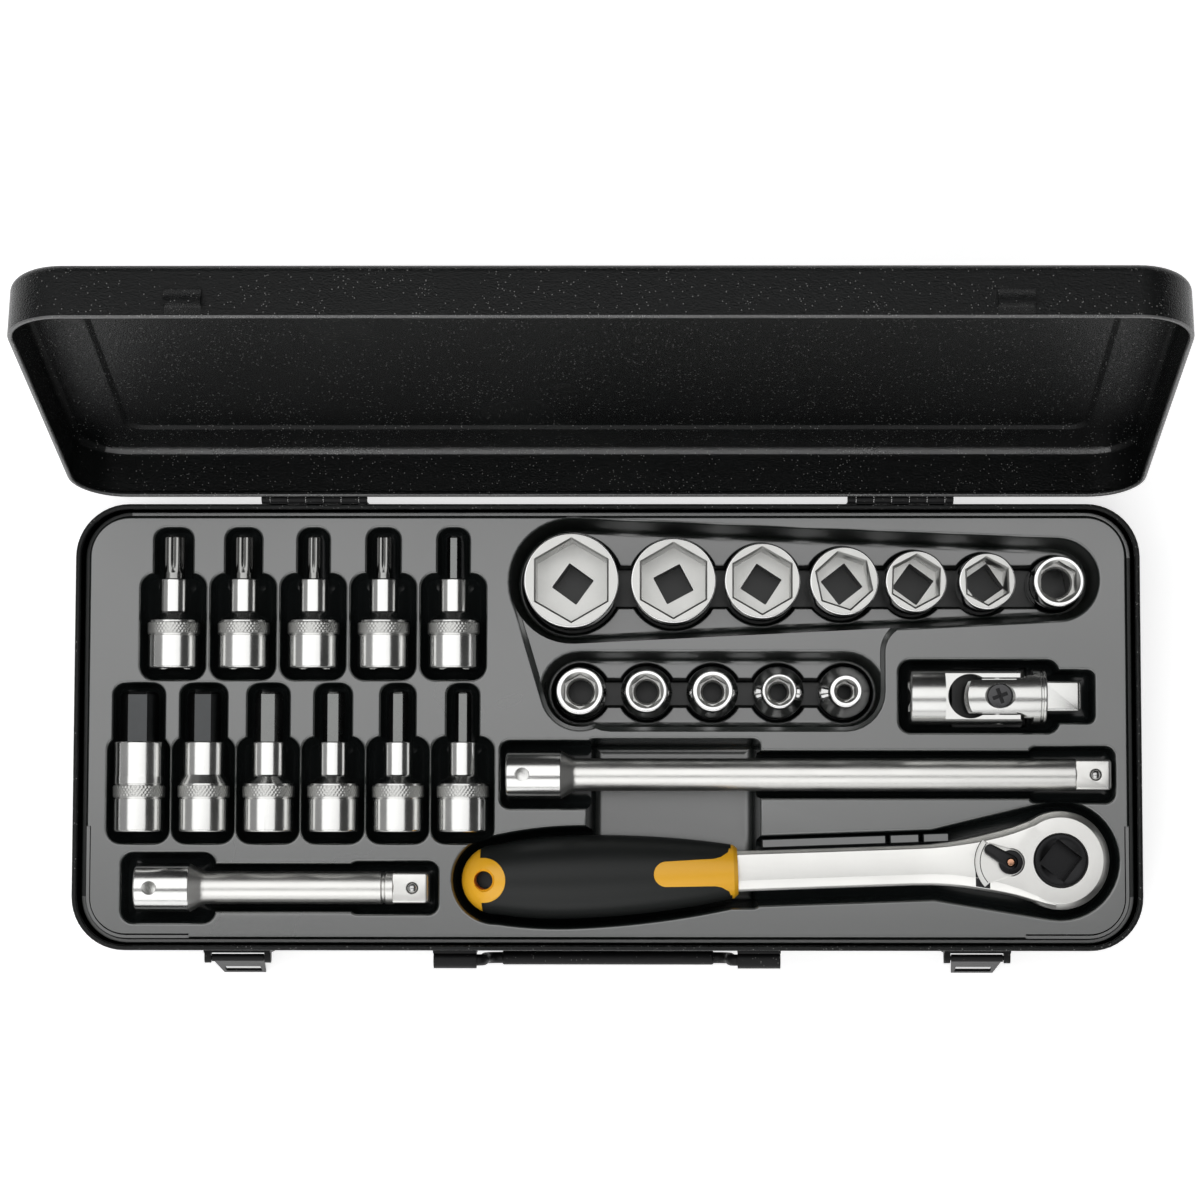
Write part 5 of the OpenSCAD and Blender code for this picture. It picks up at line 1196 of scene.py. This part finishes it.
def grip_blank(name, shrink=0.0):
    """The grip's full round form, with a rounded edge at the ferrule."""
    cap, rounding = RATCHET_L - GRIP_END_R, 1.2
    distances = [SHANK_L + (cap - SHANK_L) * k / 60 for k in range(61)]
    distances += [cap + GRIP_END_R * math.sin(RIGHT * k / 18) for k in range(1, 19)]
    profile = [(0.02, -SHANK_L)]
    for d in distances:
        r = grip_radius(d) - shrink
        left = rounding - (d - SHANK_L)
        if left > 0:
            r -= rounding - math.sqrt(max(rounding ** 2 - left ** 2, 0))
        profile.append((max(r, 0.02), -d))
    return lathe(name, profile, 128, GRIP_X)


def core_zone(grow=0.0):
    """Where the yellow core comes to the surface: the end cap, the tongue on both sides and the ferrule."""
    start, far = -SHANK_L, 20
    tongue = pear_ring((start - 30, 0), 5.3 + grow, (start - 6, 0), 5.8 + grow)
    side = [(start - 10 + grow, 5.7), (start - 7, 6.4), (start - 4, 8.2), (start - 2.5, 12), (start + 2, 13)]
    flare = [(x, -y) for x, y in side] + side[::-1]
    zone = lathe("cap_round", [(9.4 + grow, -far), (9.4 + grow, far)], 96, RATCHET @ at(-HANG, 0, 0))
    pieces = [box("cap_end", (-RATCHET_L - 2, -far, -far), (-RATCHET_L + 8.5 + grow, far, far), RATCHET),
              box("ferrule", (start - 2.6 - grow, -far, -far), (start + 2, far, far), RATCHET)]
    for side_turn in (0, 180):
        over = RATCHET @ at(0, 0, 0, ("X", side_turn))
        pieces += [prism("tongue", tongue, 8, far, over), prism("tongue_flare", flare, 6, far, over)]
    return join(zone, *pieces)


def make_grip():
    core_r = 9.0
    sleeve = grip_blank("grip_sleeve_rubber")
    room = lathe("core_room", [(core_r, -HANG - 1), (core_r, -SHANK_L + 1)], 64, GRIP_X)
    cut(sleeve, room, core_zone(0.12))
    dress(sleeve, "ratchet", ["grip_sleeve"], [GRIP_RUBBER], bevel=0.45)
    core = grip_blank("grip_core_moulding", 0.05)
    rod = lathe("rod", [(core_r - 0.05, -HANG), (core_r - 0.05, -SHANK_L)], 64, GRIP_X)
    common(core, join(rod, core_zone()))
    hole = [(4.9, -20), (4.9, -12.6), (3.9, -11.4), (3.9, 11.4), (4.9, 12.6), (4.9, 20)]
    cut(core, lathe("hang_hole", hole, 64, RATCHET @ at(-HANG, 0, 0)),
        box("tang_room", (-SHANK_L - 26.1, -5.05, -3.55), (-SHANK_L + 1, 5.05, 3.55), RATCHET))
    dress(core, "ratchet", ["grip_core"], [GRIP_YELLOW], bevel=0.35)


def make_ratchet():
    make_ratchet_body()
    make_ratchet_wheel()
    make_reverse_lever()
    make_grip()
    keep("ratchet_cover", "ratchet", PIN_STEEL)


# ---------- floor, light and camera, in metres ----------

def make_floor():
    far, low = 6000, -0.2
    corners = [(-far, -far, low), (far, -far, low), (far, far, low), (-far, far, low)]
    floor = solid("floor", corners, [(0, 1, 2, 3)])
    made, tree, shader = material("floor paper")
    where = object_place(tree)
    paper = mix_colour(tree, noise(tree, where, 30.0), (0.90, 0.90, 0.90, 1), (0.92, 0.92, 0.92, 1))
    # a backdrop that is white to the eye and in reflections, and still takes the shadow near the case
    seen = tree.nodes.new("ShaderNodeLightPath").outputs
    rays = math_node(tree, "ADD", math_node(tree, "ADD", seen["Is Camera Ray"], seen["Is Glossy Ray"]),
                     seen["Is Transmission Ray"])
    away = node(tree, "ShaderNodeVectorMath", {0: where}, operation="LENGTH").outputs["Value"]
    glow = ramp(tree, away, 0.8, 2.2, 0.62, 1.0)
    strength = math_node(tree, "MULTIPLY", math_node(tree, "MINIMUM", rays, 1.0), glow)
    feed(tree, shader, {"Base Color": paper, "Roughness": 0.9, "Emission Color": (1, 1, 1, 1),
                        "Emission Strength": strength})
    floor.data.materials.append(made)


def softbox(name, size, place, level, turn=(0, 0, 0)):
    """A rectangle of even light, unseen by the camera, that shines down before it is turned."""
    light = bpy.data.lights.new(name, "AREA")
    light.shape, light.size, light.size_y = "RECTANGLE", *size
    light.energy = level * light.size * light.size_y * math.pi
    obj = bpy.data.objects.new(name, light)
    obj.location, obj.rotation_euler = place, turn
    obj.visible_camera = False
    bpy.context.scene.collection.objects.link(obj)


def make_light():
    overhead = 1.24
    softbox("softbox_back", (1.84, 1.13), (-0.3, 0.435, 1.1), overhead)
    softbox("softbox_front", (1.84, 1.58), (-0.3, -1.21, 1.1), overhead)
    softbox("front_wall", (2.6, 1.0), (-0.2, -2.3, 0.55), 0.9, (RIGHT, 0, 0))
    softbox("strip_right", (0.3, 1.8), (1.7, 0.0, 0.22), 1.0, (0, RIGHT, 0))


def make_world():
    """Grey room, brighter to the left and dimmer to the back."""
    world = bpy.data.worlds.new("studio")
    bpy.context.scene.world = world
    world.use_nodes = True
    tree = world.node_tree
    around = tree.nodes.new("ShaderNodeTexCoord").outputs["Generated"]
    way = node(tree, "ShaderNodeSeparateXYZ", {0: around}).outputs
    level = math_node(tree, "MULTIPLY", ramp(tree, way["X"], -0.35, 0.45, 0.30, 0.045),
                      ramp(tree, way["Y"], 0.25, 0.85, 1.0, 0.22))
    grey = node(tree, "ShaderNodeCombineColor", {0: level, 1: level, 2: level}).outputs[0]
    tree.links.new(grey, tree.nodes["Background"].inputs["Color"])


def make_camera():
    camera = bpy.data.cameras.new("camera")
    camera.sensor_width, camera.lens = 36.0, 106.48
    camera.shift_x, camera.shift_y = -0.0333, -0.0667
    camera.clip_start, camera.clip_end = 0.1, 30.0
    lean = Matrix.Identity(3)
    for axis, angle in (("Z", 0.00003), ("Y", -0.00801), ("X", -0.08155)):
        lean = lean @ Matrix.Rotation(angle, 3, axis)
    obj = bpy.data.objects.new("camera", camera)
    obj.matrix_world = Matrix.Translation((0.02586, -0.0352, 1.5366)) @ lean.transposed().to_4x4()
    bpy.context.scene.collection.objects.link(obj)
    bpy.context.scene.camera = obj


make_case_base()
make_case_lid()
make_handle()
keep_fittings()
make_tray()
make_sockets()
make_drivers()
make_bar("long_extension", "long_bar", LONG_BAR, LONG_L, False)
make_bar("short_extension", "short_bar", SHORT_BAR, SHORT_L, True)
make_joint()
make_ratchet()
make_floor()
make_light()
make_world()
make_camera()
bpy.context.scene.view_settings.view_transform = "Standard"

bpy.context.view_layer.update()
